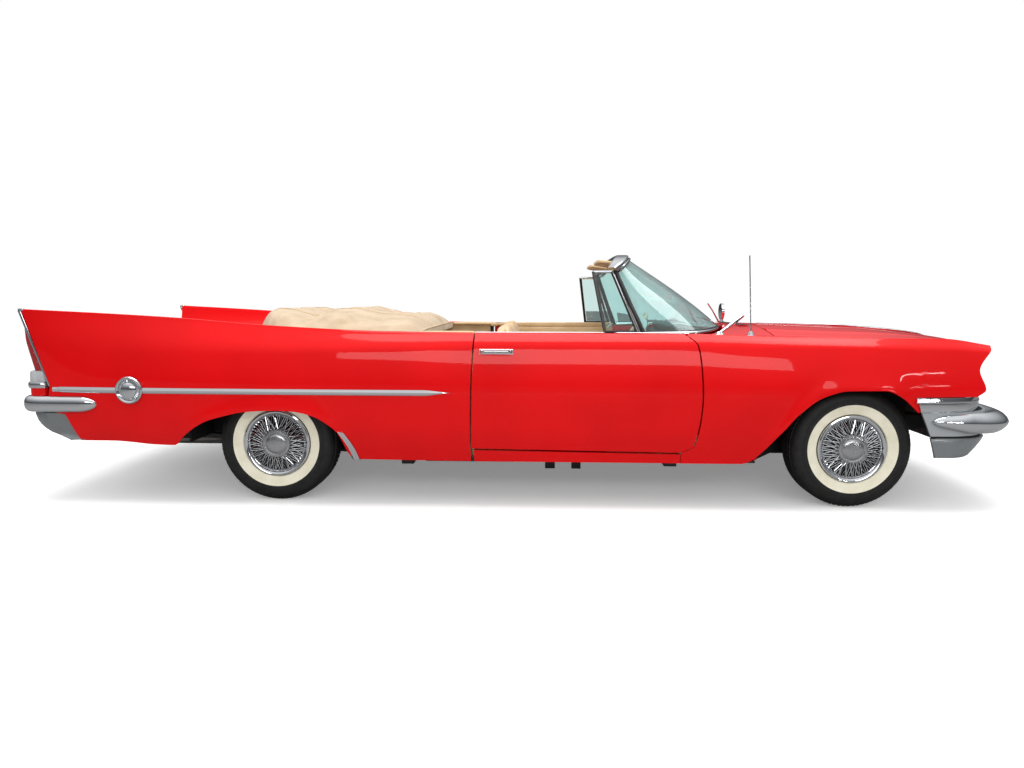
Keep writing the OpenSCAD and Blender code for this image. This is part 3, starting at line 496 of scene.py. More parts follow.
def mesh_of(name, parts, finishes):
    """A mesh in metres from parts; each is (points, faces) or (points, faces, finish number)."""
    points, faces, tones = [], [], []
    base = 0
    for part in parts:
        tone = part[2] if len(part) > 2 else 0
        points.append(np.array(part[0]) * MM)
        faces += [tuple(v + base for v in f) for f in part[1]]
        tones += list(tone) if np.ndim(tone) else [tone] * len(part[1])
        base += len(part[0])
    made = bpy.data.meshes.new(name)
    made.from_pydata(np.vstack(points).tolist(), [], faces)
    for finish in finishes:
        made.materials.append(finish)
    made.polygons.foreach_set("material_index", tones)
    work = bmesh.new()
    work.from_mesh(made)
    bmesh.ops.recalc_face_normals(work, faces=work.faces)
    work.to_mesh(made)
    work.free()
    return made


def in_scene(name, data):
    """A new object in the scene, holding a mesh, a lamp or a camera."""
    made = bpy.data.objects.new(name, data)
    bpy.context.scene.collection.objects.link(made)
    return made


def settle(name, made, body, replaces=(), slot=None, angle=35):
    """A finished piece of the object from its mesh."""
    piece = in_scene(name, made)
    made.shade_smooth()
    made.set_sharp_from_angle(angle=math.radians(angle))
    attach(piece, body)
    if replaces:
        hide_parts(*replaces)
    return piece


def piece(name, parts, finish, body="body", replaces=(), slot=None, angle=35):
    finishes = finish if isinstance(finish, (list, tuple)) else [finish]
    return settle(name, mesh_of(name, parts, finishes), body, replaces, slot, angle)


# ---------------------------------------------------------------- repeats


def repeat_tree(finish):
    """Geometry Nodes: the piece repeated Count times, stepped by Offset and turned by Turn."""
    tree = bpy.data.node_groups.new("repeat_" + finish.name, "GeometryNodeTree")
    face = tree.interface
    face.new_socket("Geometry", in_out="INPUT", socket_type="NodeSocketGeometry")
    face.new_socket("Count", in_out="INPUT", socket_type="NodeSocketInt")
    face.new_socket("Offset", in_out="INPUT", socket_type="NodeSocketVector")
    face.new_socket("Turn", in_out="INPUT", socket_type="NodeSocketVector")
    face.new_socket("Geometry", in_out="OUTPUT", socket_type="NodeSocketGeometry")
    given = add(tree, "NodeGroupInput")
    spots = add(tree, "GeometryNodeMeshLine", {"Count": given.outputs["Count"],
                "Offset": given.outputs["Offset"]}, mode="OFFSET")
    order = add(tree, "GeometryNodeInputIndex")
    turn = add(tree, "ShaderNodeVectorMath", {0: given.outputs["Turn"]}, operation="SCALE")
    tree.links.new(order.outputs["Index"], turn.inputs["Scale"])
    copies = add(tree, "GeometryNodeInstanceOnPoints", {"Points": spots.outputs["Mesh"],
                 "Instance": given.outputs["Geometry"], "Rotation": turn.outputs["Vector"]})
    real = add(tree, "GeometryNodeRealizeInstances", {"Geometry": copies.outputs["Instances"]})
    coat = add(tree, "GeometryNodeSetMaterial", {"Geometry": real.outputs["Geometry"],
               "Material": finish})
    end = add(tree, "NodeGroupOutput")
    tree.links.new(coat.outputs["Geometry"], end.inputs["Geometry"])
    return tree


repeat_trees = {}


def repeated(part, finish, count, offset=(0, 0, 0), turn=(0, 0, 0)):
    """Mesh of part repeated in a row (offset, mm) or a ring (turn, degrees)."""
    if finish.name not in repeat_trees:
        repeat_trees[finish.name] = repeat_tree(finish)
    tree = repeat_trees[finish.name]
    seed = in_scene("seed", mesh_of("seed", [part], [finish]))
    spread = seed.modifiers.new("repeat", "NODES")
    spread.node_group = tree
    keys = {i.name: i.identifier for i in tree.interface.items_tree if i.in_out == "INPUT"}
    spread[keys["Count"]] = count
    spread[keys["Offset"]] = [v * MM for v in offset]
    spread[keys["Turn"]] = [math.radians(v) for v in turn]
    bpy.context.view_layer.update()
    ready = seed.evaluated_get(bpy.context.evaluated_depsgraph_get())
    made = bpy.data.meshes.new_from_object(ready)
    bpy.data.objects.remove(seed)
    points = np.array([v.co for v in made.vertices]) / MM
    faces = [tuple(f.vertices) for f in made.polygons]
    bpy.data.meshes.remove(made)
    return points, faces

# ---------------------------------------------------------------- body side

# Stations along the car, and heights or half widths of the body's lines at each one
stations = [-2768, -2276, -1883, -1710, -1690, -1327, -718, -227, 446, 908, 1200, 1433, 1816,
            2262, 2530]
body_lines = {
    "sill_y": [885, 912, 928, 930, 930, 930, 930, 930, 930, 930, 930, 928, 925, 905, 880],
    "mid_y": [935, 966, 980, 984, 984, 989, 990, 989, 988, 986, 983, 981, 975, 958, 935],
    "shoulder_z": [880, 850, 845, 847, 847, 850, 870, 890, 900, 903, 902, 898, 890, 880, 870],
    "shoulder_y": [934, 952, 962, 964, 964, 966, 962, 953, 949, 945, 938, 934, 926, 914, 898],
    "ridge_y": [930, 905, 890, 888, 888, 885, 888, 893, 893, 890, 881, 875, 868, 860, 856],
    "ridge_z": [1085, 1061, 1038, 1024, 1022, 995, 969, 964, 962, 961, 953, 947, 942, 940, 905],
    "valley_y": [868, 850, 838, 836, 836, 838, 850, 862, 865, 850, 832, 812, 780, 770, 780],
    "valley_z": [905, 925, 945, 955, 956, 965, 958, 957, 957, 955, 949, 941, 930, 922, 893]}
smooth_lines = {k: curve(zip(stations, v)) for k, v in body_lines.items()}
inner_y = line(zip(stations, [700, 700, 700, 702, 800, 800, 805, 832, 832, 822, 760, 650, 650,
                              650, 650]))
SILL_Z, MID_Z, SKIN, SHUT = 256, 640, 12, 8
DOOR_IN = 832


def at(name, x):
    return smooth_lines[name](x)


quarter_low = curve([[-2760, 352], [-2436, 354], [-1925, 334], [-1863, 390], [-1734, 473],
                     [-1632, 504], [-1536, 526], [-1449, 535], [-1342, 539], [-1237, 534],
                     [-1132, 509], [-1050, 461], [-1000, 413], [-938, 273], [-882, 262],
                     [-260, 257]])
fender_low = curve([[876, 255], [1201, 256], [1395, 437], [1484, 541], [1607, 632],
                    [1734, 666], [1928, 668], [2031, 623], [2095, 566], [2117, 548],
                    [2137, 635], [2530, 635]])
door_low = line([[-268, 333], [863, 319], [968, 319]])
quarter_rear = line([[350, -2466], [503, -2540], [520, -2640], [640, -2622], [662, -2615],
                     [1085, -2760]])
door_rear = curve([[333, -268], [353, -270], [659, -266], [957, -253]])
door_front = curve([[319, 863], [353, 932], [614, 968], [775, 960], [904, 941], [958, 881]])
fender_front = curve([[635, 2424], [672, 2470], [772, 2436], [905, 2521], [940, 2530]])


def half_w(x, z):
    """Half width of the body side at a station and height."""
    heights = [SILL_Z, (SILL_Z + MID_Z) / 2, MID_Z, at("shoulder_z", x), at("ridge_z", x)]
    widths = [at("sill_y", x), at("mid_y", x) - 9, at("mid_y", x), at("shoulder_y", x),
              at("ridge_y", x)]
    return curve(zip(heights, widths))(z)


def arch_lip(x, z, low, lip):
    """Rolled lip that swells round a wheel arch: (first station, last, how far out)."""
    if not lip:
        return 0
    first, last, out = lip
    fade = max(0, min(1, (x - first) / 120)) * max(0, min(1, (last - x) / 120))
    above = (z - low) / 62
    return out * fade * math.exp(-above * above)


def side_grid(xs, rows, low, rear, front, reach, lip=None):
    """Rows of points up the panel at each station, squared off at its two ends."""
    last = xs[-1]
    grid = []
    for x in xs:
        z0, top = low(x), at("ridge_z", x)
        column = []
        for share in rows:
            z = z0 + (top - z0) * share
            px = (x + max(0, 1 - (x - xs[0]) / reach) * (rear(z) - xs[0])
                  + max(0, 1 - (last - x) / reach) * (front(z) - last))
            column.append((px, -half_w(px, z) - arch_lip(px, z, z0, lip), z))
        grid.append(column)
    return grid


def fill_stations(marks, step):
    """Stations through the marks, no further apart than step."""
    xs = [marks[0]]
    for a, b in zip(marks, marks[1:]):
        n = max(1, round((b - a) / step))
        xs += [a + (b - a) * k / n for k in range(1, n + 1)]
    return xs


# Shares of the side's height at which it has a row, closer together at the bottom edge
SIDE_ROWS = [0, 0.012, 0.04] + [0.04 + 0.93 * k / 34 for k in range(1, 35)] + [0.985]


def wing(marks, step, low, rear, front, reach, lip):
    """A front wing or rear quarter: side, rounded ridge, the dip inside it and the top."""
    xs = fill_stations(marks, step)
    face = side_grid(xs, SIDE_ROWS, low, rear, front, reach, lip)
    outer, inner = [], []
    for x, column in zip(xs, face):
        px, y0, z0 = column[-1]
        ry, rz, vy, vz = (at(k, x) for k in ("ridge_y", "ridge_z", "valley_y", "valley_z"))
        crest = [(px, -ry + (y0 + ry) * 0.45, rz - (rz - z0) * 0.28), (px, -ry + 3, rz),
                 (px, -ry + 9, rz - 0.5)]
        dip = []
        a, b, c = (np.array(q) for q in ([ry - 9, rz - 0.5], [vy + (ry - vy) * 0.22, vz],
                                         [vy - 30, vz]))
        for s in np.linspace(0.12, 1, 9):
            q = (1 - s) ** 2 * a + 2 * s * (1 - s) * b + s * s * c
            dip.append((px, -q[0], q[1]))
        iy = inner_y(x)
        flat = [(px, -(vy - 30) + (vy - 30 - iy) * s, vz) for s in (0.5, 1)]
        outer.append(column + crest + dip + flat)
        base = [(p[0], p[1] + SKIN, p[2]) for p in column]
        crest_in = [(p[0], p[1] + SKIN, p[2] - SKIN) for p in crest]
        rest_in = [(p[0], p[1] + SKIN * 0.7 * (1 - k / 8 if k < 8 else 0), p[2] - SKIN)
                   for k, p in enumerate(dip + flat)]
        inner.append(base + crest_in + rest_in)
    return slab(outer, inner)


def shifted(edge, by):
    """A panel's edge moved along the car."""
    return lambda z: edge(z) + by


fender_marks = [876, 980, 1090, 1201, 1300, 1395, 1484, 1545, 1607, 1670, 1734, 1830, 1928, 1980,
                2031, 2095, 2117, 2137, 2262, 2380, 2460, 2530]
quarter_marks = [-2760, -2650, -2540, -2436, -2276, -2100, -1925, -1863, -1790, -1734, -1710,
                 -1690, -1632, -1536, -1449, -1342, -1237, -1132, -1050, -1000, -938, -882, -718,
                 -500, -274]
fender = wing(fender_marks, 22, fender_low, shifted(door_front, SHUT), fender_front, 320,
              (1210, 2110, 11))
piece("front_wings", both(fender), enamel, replaces=["front_fenders"], slot="red_paint",
      angle=38)
quarter = wing(quarter_marks, 24, quarter_low, quarter_rear, shifted(door_rear, -SHUT), 700,
               (-1900, -940, 11))
piece("rear_quarters_skin", both(quarter), enamel, replaces=["rear_quarters"],
      slot="red_paint", angle=38)

# ---------------------------------------------------------------- doors

door_xs = fill_stations([-268, -180, -20, 150, 300, 446, 600, 720, 800, 880, 968], 24)
DOOR_ROWS = [k / 44 for k in range(44)] + [0.99, 0.997, 1]
door_face = side_grid(door_xs, DOOR_ROWS, door_low, door_rear, door_front, 300)
for column in door_face:  # the top edge rolls over
    column[-1] = (column[-1][0], column[-1][1] + 7, column[-1][2])
    column[-2] = (column[-2][0], column[-2][1] + 1.6, column[-2][2])
n = len(door_xs) - 1
door_back = [[(p[0] + (22 if i == 0 else -11 if i == n else 0), -DOOR_IN,
               p[2] - (5 if j >= len(DOOR_ROWS) - 2 else 0)) for j, p in enumerate(column)]
             for i, column in enumerate(door_face)]
door = slab(door_face, door_back)
for side, turn in SIDES:
    piece("door_skin_" + side, [turn(door)], enamel, "door_" + side, ["door_" + side],
          "red_paint", angle=38)

# ---------------------------------------------------------------- hood and boot lid

HOOD_HW, HOOD_T = 642, 14
HOOD_REAR, HOOD_TIP = 1440, 2646
hood_line = curve([[1440, 992], [1800, 981], [2130, 968], [2453, 937], [2600, 915], [2646, 893]])
hood_nose = curve([[0, 2646], [300, 2630], [480, 2590], [642, 2520]])


def hood_point(u, v):
    """Point on the hood; u runs from its rear edge to the tip, v across it."""
    y = v * HOOD_HW
    nose = hood_nose(abs(y))
    x = HOOD_REAR + u * (nose - HOOD_REAR)
    edge, mid = at("valley_z", x), hood_line(x + HOOD_TIP - nose)
    crease = 5 * math.exp(-((abs(v) - 0.72) / 0.05) ** 2) * min(1, (1 - u) * 3)
    spine = 4 * math.exp(-(v / 0.035) ** 2) * min(1, u * 4)
    return [x, y, edge + (mid - edge) * (1 - abs(v) ** 2.4) + crease + spine]


hood_top = [[hood_point(u, v) for v in np.linspace(-1, 1, 81)]
            for u in np.concatenate([np.linspace(0, 0.9, 46), np.linspace(0.915, 1, 10)])]
flat_rows = len(hood_top)
lip = hood_top[-1]
for drop, back in ((5, 1), (16, 4), (24, 8)):  # the front edge rolls down
    hood_top.append([[p[0] - back, p[1] * (1 - 0.002 * back), p[2] - drop] for p in lip])
hood_under = [[[p[0] - (10 if i >= flat_rows else 0), p[1] * 0.99,
                p[2] - (HOOD_T if i < flat_rows else 0)] for p in row]
              for i, row in enumerate(hood_top)]
piece("hood_skin", [slab(hood_top, hood_under)], enamel, "hood", ["hood"], "red_paint")

LID_HW, LID_T = 692, 14
lid_path = through([[-1788, 957], [-2000, 953], [-2276, 944], [-2560, 922], [-2670, 885],
                    [-2712, 800], [-2726, 700], [-2728, 640]], 60)


def lid_grid(inset):
    """The boot lid's surface, moved inwards by inset."""
    grid = []
    for i, (x, z) in enumerate(lid_path):
        a, b = lid_path[max(i - 1, 0)], lid_path[min(i + 1, len(lid_path) - 1)]
        d = (b - a) / np.linalg.norm(b - a)
        down = min(1, max(0, (900 - z) / 60))
        row = []
        for v in np.linspace(-1, 1, 61):
            rise = -22 * v * v * (0.8 - 0.4 * down) + 5 * math.exp(-(v / 0.05) ** 2) * (1 - down)
            row.append([x + 22 * v * v * down - d[1] * inset, v * (LID_HW - inset * 0.2),
                        z + rise + d[0] * inset])
        grid.append(row)
    return grid


piece("boot_lid_skin", [slab(lid_grid(0), lid_grid(LID_T))], enamel, "boot_lid", ["boot_lid"],
      "red_paint")

# ---------------------------------------------------------------- wheels and tyres

TYRE_R = 332
FRONT_AXLE_X, REAR_AXLE_X = 1816, -1384
FRONT_TRACK, REAR_TRACK = 1554, 1524
WHITE_FROM, WHITE_TO = 188, 245.5
# The tyre's section from its bead to the middle of the tread, as (radius, half width)
tyre_half = [(188, 46), (186, 70), (188.5, 82), (194, 90), (206, 94.5), (225, 99.5),
             (243, 103.2), (246, 104.9), (250, 105.4), (262, 105.6), (280, 103.5), (296, 99.5),
             (309, 92), (318, 84), (324, 74), (326.5, 64), (326.5, 32), (326.5, 0)]
tyre_body = lathe(tyre_half + [(r, -h) for r, h in reversed(tyre_half[:-1])]
                  + [(194, -46), (194, 46)], 96)
tyre_tones = []
for f in tyre_body[1]:
    c = tyre_body[0][list(f)].mean(axis=0)
    radius = math.hypot(c[0], c[1])
    tyre_tones.append(1 if WHITE_FROM < radius < WHITE_TO and c[2] > 70 else 0)


def tread_block(lo, hi, long, slant, top):
    """One rubber block of the tread, between two widths of the crown."""
    low, high = long / 2, long / 2 - 1.6
    foot = [(324, -low - slant, lo), (324, low - slant, lo), (324, low + slant, hi),
            (324, -low + slant, hi)]
    head = [(top, -high - slant, lo + 1.2), (top, high - slant, lo + 1.2),
            (top, high + slant, hi - 1.2), (top, -high + slant, hi - 1.2)]
    return loft([foot, head])


BLOCKS = 78
ribs = [(-62, -40, 24, 4, 331.2), (-36, -15, 23, -4, TYRE_R), (-11, 11, 25, 0, TYRE_R),
        (15, 36, 23, 4, TYRE_R), (40, 62, 24, -4, 331.2)]
tread = [repeated(tread_block(lo, hi, long, slant, top), rubber, BLOCKS,
                  turn=(0, 0, 360 / BLOCKS)) for lo, hi, long, slant, top in ribs]
# Thin moulded ribs on the sidewall outside the white band
sidewall_ribs = [placed(lathe([(r, -1), (r + 1.2, 0.5), (r + 2.4, -1)], 96), (0, 0, h))
                 for r, h in ((264, 105.9), (272, 105.0))]

wheel_barrel = lathe([(150, 56), (166, 40), (166, -72), (178, -76), (185.5, -76), (185.5, 80),
                      (176, 80), (168, 60)], 72)
wheel_disc = lathe([(0, 56), (148, 56), (158, 66), (150, 70), (0, 62)], 72)
cover_ring = lathe([(160, 72), (163, 84), (166, 92), (172, 97.5), (180, 100), (186, 98),
                    (188, 93), (187, 86), (176, 78)], 96)
cover_bead = lathe([(158, 78), (160, 84), (164, 86), (166, 80), (162, 74)], 96)
cover_dish = lathe([(0, 70), (164, 70), (164, 76), (120, 80), (84, 88), (0, 90)], 72)
hub = lathe([(0, 90), (82, 72), (83, 92), (81, 101), (76, 108), (66, 110), (63, 107.5),
             (58, 107.5), (55, 111), (40, 115.5), (20, 117.6), (0, 118)], 72)
WIRES = 26


def wire(r0, z0, r1, z1, sweep, thick):
    """One wire of the wheel cover, from the hub to the rim."""
    a = math.radians(sweep)
    start, end = (r0, 0, z0), (r1 * math.cos(a), r1 * math.sin(a), z1)
    return bar([start, end], [thick], [thick], 6)


wires = [repeated(wire(80, 98, 162, 86, sweep, 2.7), chrome, WIRES, turn=(0, 0, 360 / WIRES))
         for sweep in (11, -11)]
wires += [placed(repeated(wire(82, 88, 162, 79, sweep, 2.4), chrome, WIRES,
                          turn=(0, 0, 360 / WIRES)), turn=(0, 0, 180 / WIRES))
          for sweep in (7, -7)]
nipples = repeated(placed(lathe([(0, 0), (4.2, 0), (4.2, 7), (0, 9)], 8), (160, 0, 84),
                          (0, -90, 0)), chrome, WIRES * 2, turn=(0, 0, 180 / WIRES))
scallops = repeated(placed(lathe([(0, -9), (4.5, -8), (4.5, 8), (0, 9)], 8), (82, 0, 97)),
                    satin_chrome, 30, turn=(0, 0, 12))
valve = placed(lathe([(0, 0), (4, 0), (4, 26), (2.5, 28), (2.5, 32), (0, 32)], 12), (150, 0, 84),
               (0, -20, 0))

for end, x, track in (("front", FRONT_AXLE_X, FRONT_TRACK), ("rear", REAR_AXLE_X, REAR_TRACK)):
    for side, sign in (("right", -1), ("left", 1)):
        spot = spot_at((x, sign * track / 2, TYRE_R), -90 * sign, "X")

        def here(part, tone=0):
            return placed(part, matrix=spot) + (tone,)
        name, body = f"{end}_{side}", f"{end}_{side}_wheel"
        piece("tyre_" + name + "_tread", [here(tyre_body, tyre_tones)]
              + [here(p) for p in tread + sidewall_ribs], [rubber, whitewall], body,
              ["tyre_" + name], "tyre_rubber", angle=30)
        piece("wheel_" + name + "_cover",
              [here(wheel_barrel, 3), here(wheel_disc, 3), here(cover_ring), here(cover_bead),
               here(cover_dish, 1), here(hub, 2), here(scallops, 2), here(nipples),
               here(valve, 3)] + [here(w) for w in wires],
              [chrome, dark_chrome, satin_chrome, chassis_black], body, ["wheel_" + name],
              "wheel_chrome", angle=35)

# ---------------------------------------------------------------- chrome along the side

SPEAR_Z, SPEAR_H, SPEAR_TIP = 642, 34, -380
BADGE_X = -2149
spear_stations = np.concatenate([np.linspace(-2597, -2560, 8), np.linspace(-2540, -520, 90),
                                 np.linspace(-500, SPEAR_TIP, 12)])
spear_rows = [(-1, 1.2), (-0.88, 4), (-0.08, 10.6), (0.08, 11), (0.88, 5), (1, 1.2)]
spear_front, spear_back = [], []
for x in spear_stations:
    taper = min(1, max(0.12, (SPEAR_TIP - x) / 130)) * min(1, max(0.85, (x + 2600) / 40))
    y = half_w(x, SPEAR_Z)
    rows = [(out, SPEAR_Z + up * SPEAR_H / 2 * taper) for up, out in spear_rows]
    spear_front.append([(x, -y - out * (0.4 + 0.6 * taper), z) for out, z in rows])
    spear_back.append([(x, -y - 0.8, z) for _, z in rows])
spear = slab(spear_front, spear_back)

badge_spot = spot_at((BADGE_X, -half_w(BADGE_X, SPEAR_Z) - 1.5, SPEAR_Z + 2), 90, "X")
badge_ring = lathe([(58, 4), (60, 15), (66, 19), (71, 19), (75, 14), (76, 2), (68, 1)], 72)
badge_dish = lathe([(0, 3), (62, 3), (60, 8), (40, 11), (26, 12), (0, 12)], 72)
badge_dome = lathe([(0, 11), (44, 9), (42, 17), (32, 23.5), (18, 27), (0, 28.5)], 48)
badge_rays = repeated(block((45, -1.6, 9), (59, 1.6, 13), 1), chrome, 36, turn=(0, 0, 10))
badge = [placed(p, matrix=badge_spot) for p in (badge_ring, badge_dish, badge_dome, badge_rays)]

fin_edge = bar(through([[-2771.6, -926, 1079], [-2698, -927, 870], [-2639, -928, 700],
                        [-2625, -929, 658]], 24), [8, 9, 9, 9, 7], [8], 14, 3)
fin_cap = placed(pillow((16, 9, 7), (6, 6, 4), 3), (-2760, -926, 1082))


def oval(x0, y0, x1, y1, r, z, steps=28):
    """Ring round two upright cylinders of radius r at height z."""
    ring = []
    ang = math.atan2(y1 - y0, x1 - x0)
    for k in range(steps):
        a = ang + math.pi / 2 + math.pi * 2 * k / steps
        cx, cy = (x0, y0) if k < steps / 2 else (x1, y1)
        ring.append((cx + r * math.cos(a), cy + r * math.sin(a), z))
    return ring


def drum(levels, shift=0):
    """Lamp housing from (height, radius) levels."""
    return loft([oval(-2682 - shift, -900, -2722 - shift, -896, r, z) for z, r in levels])


housing_ring = drum([(643, 31), (647, 37), (657, 40), (669, 40), (678, 36), (682, 30)], 2)
housing_foot = drum([(590, 28), (600, 30), (643, 31)])
reverse_lamp = drum([(682, 28), (687, 31), (728, 29), (738, 25), (741, 18)])
lens_levels = [[1012, -2727, -2757, 911, 918], [932, -2696, -2758, 893, 918],
               [893, -2686, -2756, 883, 917], [878, -2682, -2754, 872, 916],
               [800, -2658, -2736, 868, 916], [742, -2642, -2722, 866, 916]]
lens_rings = []
for z, front_x, back_x, inner, outer in through(lens_levels, 40):
    cx, cy = (front_x + back_x) / 2, (inner + outer) / 2
    hx, hy = (front_x - back_x) / 2, (outer - inner) / 2
    lens_rings.append([(cx + hx * boxier(math.cos(a), 0.6), -cy - hy * boxier(math.sin(a), 0.6), z)
                       for a in np.linspace(0, 2 * math.pi, 24, endpoint=False)])
tail_lens = loft(lens_rings)

guard_lines = [((-1000, 424, -936, 268), 0), ((-1003, 424, -926, 264), 9),
               ((-968, 418, -892, 258), 9), ((-966, 416, -890, 259), 0)]
guard_front, guard_back = [], []
for k in np.linspace(0, 1, 14):
    f, b = [], []
    for (x0, z0, x1, z1), out in guard_lines:
        x, z = x0 + (x1 - x0) * k + 10 * math.sin(math.pi * k), z0 + (z1 - z0) * k
        f.append((x, -half_w(x, z) - 1 - out, z))
        b.append((x, -half_w(x, z) - 0.6, z))
    guard_front.append(f)
    guard_back.append(b)
gravel_guard = slab(guard_front, guard_back)
piece("side_chrome", both(spear, fin_edge, fin_cap, housing_ring, gravel_guard, *badge), chrome,
      replaces=["body_trim"], slot="chrome", angle=32)
piece("lamp_housing_feet", both(housing_foot), enamel)
piece("reversing_lamps", both(reverse_lamp), clear_lens, slot="lamp_glass")
piece("tail_lenses", both(tail_lens), red_lens, replaces=["tail_lamps"], slot="red_lens")
lens_trim = [bar([(r[6][0] - 2, r[6][1] - 1, r[6][2]), (r[18][0] - 2, r[18][1] + 1, r[18][2])],
                 [3], [3], 8) for r in lens_rings[4::7]]
piece("lens_bars", both(*lens_trim), chrome)

# ---------------------------------------------------------------- bumpers and pans


def run_round(path, z, count=90):
    """The whole curve round the car's end from its right half."""
    return across_car([[x, -y, z] for x, y in path], count)


def wall_round(path, levels, thick, count=90, lean=0.0):
    """Upright wall round the car's end; levels are (height, outwards, back).

    Its two ends lean forward towards the bottom by lean, and are not set back.
    """
    line_in = run_round(path, 0, count)
    end = 1 if path[0][0] > 0 else -1
    top = levels[0][0]
    rings = []
    for i, p in enumerate(line_in):
        far = min(1, abs(p[0] - path[0][0]) / 380)
        far *= far * (3 - 2 * far)
        d = line_in[min(i + 1, count - 1)] - line_in[max(i - 1, 0)]
        d /= np.linalg.norm(d)
        out = np.array([d[1], -d[0], 0]) * end
        if out[0] * end < 0:
            out = -out
        face = [p + out * o + np.array([-b * end * far + lean * (top - z) * (1 - far), 0, z])
                for z, o, b in levels]
        rings.append(face + [q - out * thick for q in reversed(face)])
    return loft(rings)


def rounded_off(path, taper):
    """Share of the full size along path, rounded off over taper at both ends."""
    steps = np.linalg.norm(np.diff(path, axis=0), axis=1)
    gone = np.concatenate([[0], np.cumsum(steps)])
    share = np.clip(np.minimum(gone, gone[-1] - gone) / taper, 0, 1)
    return np.sqrt(np.maximum(0.002, 1 - (1 - share) ** 2))


band_path = [[2092, 964], [2250, 955], [2370, 928], [2445, 880], [2508, 790], [2566, 620],
             [2592, 320], [2600, 0]]
skirt_path = [[2132, 952], [2250, 948], [2400, 920], [2492, 868], [2562, 770], [2604, 600],
              [2628, 300], [2634, 0]]
blade_path = [[2190, 958], [2330, 956], [2460, 922], [2582, 838], [2652, 704], [2692, 480],
              [2703, 240], [2707, 0]]
rear_path = [[-2345, 956], [-2480, 962], [-2650, 962], [-2724, 948], [-2746, 900],
             [-2750, 740], [-2750, 0]]
band = wall_round(band_path, [(634, 2, 0), (631, 8, 0), (600, 12, 0), (572, 12, 0), (556, 8, 0),
                              (550, 2, 0)], 12, lean=0.37)
band_groove = wall_round(band_path, [(612, 13.5, 0), (607, 15, 0), (602, 13.5, 0)], 6)
skirt = wall_round(skirt_path, [(552, 6, 0), (520, 4, 0), (450, -4, 0), (420, -8, 0)], 12,
                   lean=0.48)
skirt_seam = wall_round([[2204, 946]] + skirt_path[2:], [(421, -10, 0), (405, -10, 0)], 8)
blade_line = run_round(blade_path, 0, 260)
blade_line[:, 2] = np.interp(blade_line[:, 0], [2190, 2560, 2707], [502, 486, 480])
blade_end = rounded_off(blade_line, 60)
blade = bar(blade_line, blade_end * np.interp(blade_line[:, 0], [2190, 2400, 2560, 2640, 2707],
                                              [28, 34, 60, 72, 75]),
            blade_end * np.interp(blade_line[:, 0], [2190, 2390, 2560], [27, 54, 60]), 32, 1.6)
piece("front_bumper_chrome", [band, band_groove, blade], chrome,
      replaces=["front_bumper"], slot="chrome", angle=40)
piece("front_bumper_skirt", [skirt], brushed, angle=40)
piece("bumper_seam_strip", [skirt_seam], strip_rubber)
piece("front_valance", [wall_round(band_path, [(630, -1, 0), (620, -1, 0)], 140)]
      + both(block((2388, -908, 622), (2398, -500, 704), 3)), enamel)
rear_line = run_round(rear_path, 562, 300)
rear_end = rounded_off(rear_line, 100)
rear_bar = bar(rear_line, rear_end * 34, rear_end * 45, 28, 2.3)
overriders = placed(pillow((24, 32, 60), (8, 8, 10), 2.6), (-2756, -560, 562))
piece("rear_bumper_chrome", [rear_bar] + both(overriders), chrome, replaces=["rear_bumper"],
      slot="chrome", angle=40)
front_pan_path = [[2200, 934], [2310, 932], [2430, 908], [2508, 858], [2570, 764], [2608, 560],
                  [2620, 0]]
rear_pan_path = [[-2440, 905], [-2560, 914], [-2675, 921], [-2731, 911], [-2749, 862],
                 [-2752, 700], [-2752, 0]]
front_pan = wall_round(front_pan_path, [(407, -2, 0), (402, 2, 0), (380, 2, 10), (340, 0, 38),
                                        (306, -3, 66), (299, -10, 72)], 14, lean=0.3)
rear_pan = wall_round(rear_pan_path, [(508, -2, 0), (502, 0, 0), (460, 0, 18), (440, 0, 36),
                                      (419, 0, 60), (395, -1, 102), (374, -4, 158),
                                      (362, -8, 212), (357, -14, 236)], 14)
piece("lower_pans_painted", [front_pan, rear_pan], silver, replaces=["lower_pans"],
      slot="silver_paint", angle=40)
bolt = lathe([(0, 0), (11, 0), (11, 3), (7, 6), (0, 8)], 12)
piece("pan_bolts", both(placed(bolt, (-2570, -914, 424), (90, 0, 0)),
                        placed(bolt, (2594, -89, 372), (0, 90, 0)))
      + [placed(repeated(bolt, chrome, 4, offset=(0, 240, 0)), (-2774, -360, 562), (0, -90, 0))],
      satin_chrome)

# ---------------------------------------------------------------- grille and head lamps

grille_bar = bar(across_car([[2474, -506, 0], [2528, -440, 0], [2552, -250, 0], [2560, 0, 0]],
                            40), [10], [5.5], 12, 3)
grille_bars = placed(repeated(grille_bar, chrome, 5, offset=(0, 0, 45)), (-2, 0, 660))
uprights = placed(repeated(block((2500, -3, 652), (2508, 3, 862), 2), chrome, 11,
                           offset=(0, 84.5, 0)), (0, -422.5, 0))
eggcrate = repeated(block((2480, -500, 674), (2486, 500, 678), 1), chrome, 9,
                    offset=(0, 0, 22.5))
surround = [bar(across_car([[2520, -512, z], [2566, -440, z], [2590, -200, z], [2596, 0, z]],
                           40), [13], [7], 12, 3) for z in (648, 868)]
piece("grille_chrome", [grille_bars, uprights, eggcrate] + surround
      + both(block((2462, -516, 648), (2530, -502, 866), 4)), chrome, replaces=["grille"],
      slot="chrome")
piece("grille_backing", [block((2464, -500, 652), (2470, 500, 864), 1)], dark_mesh)

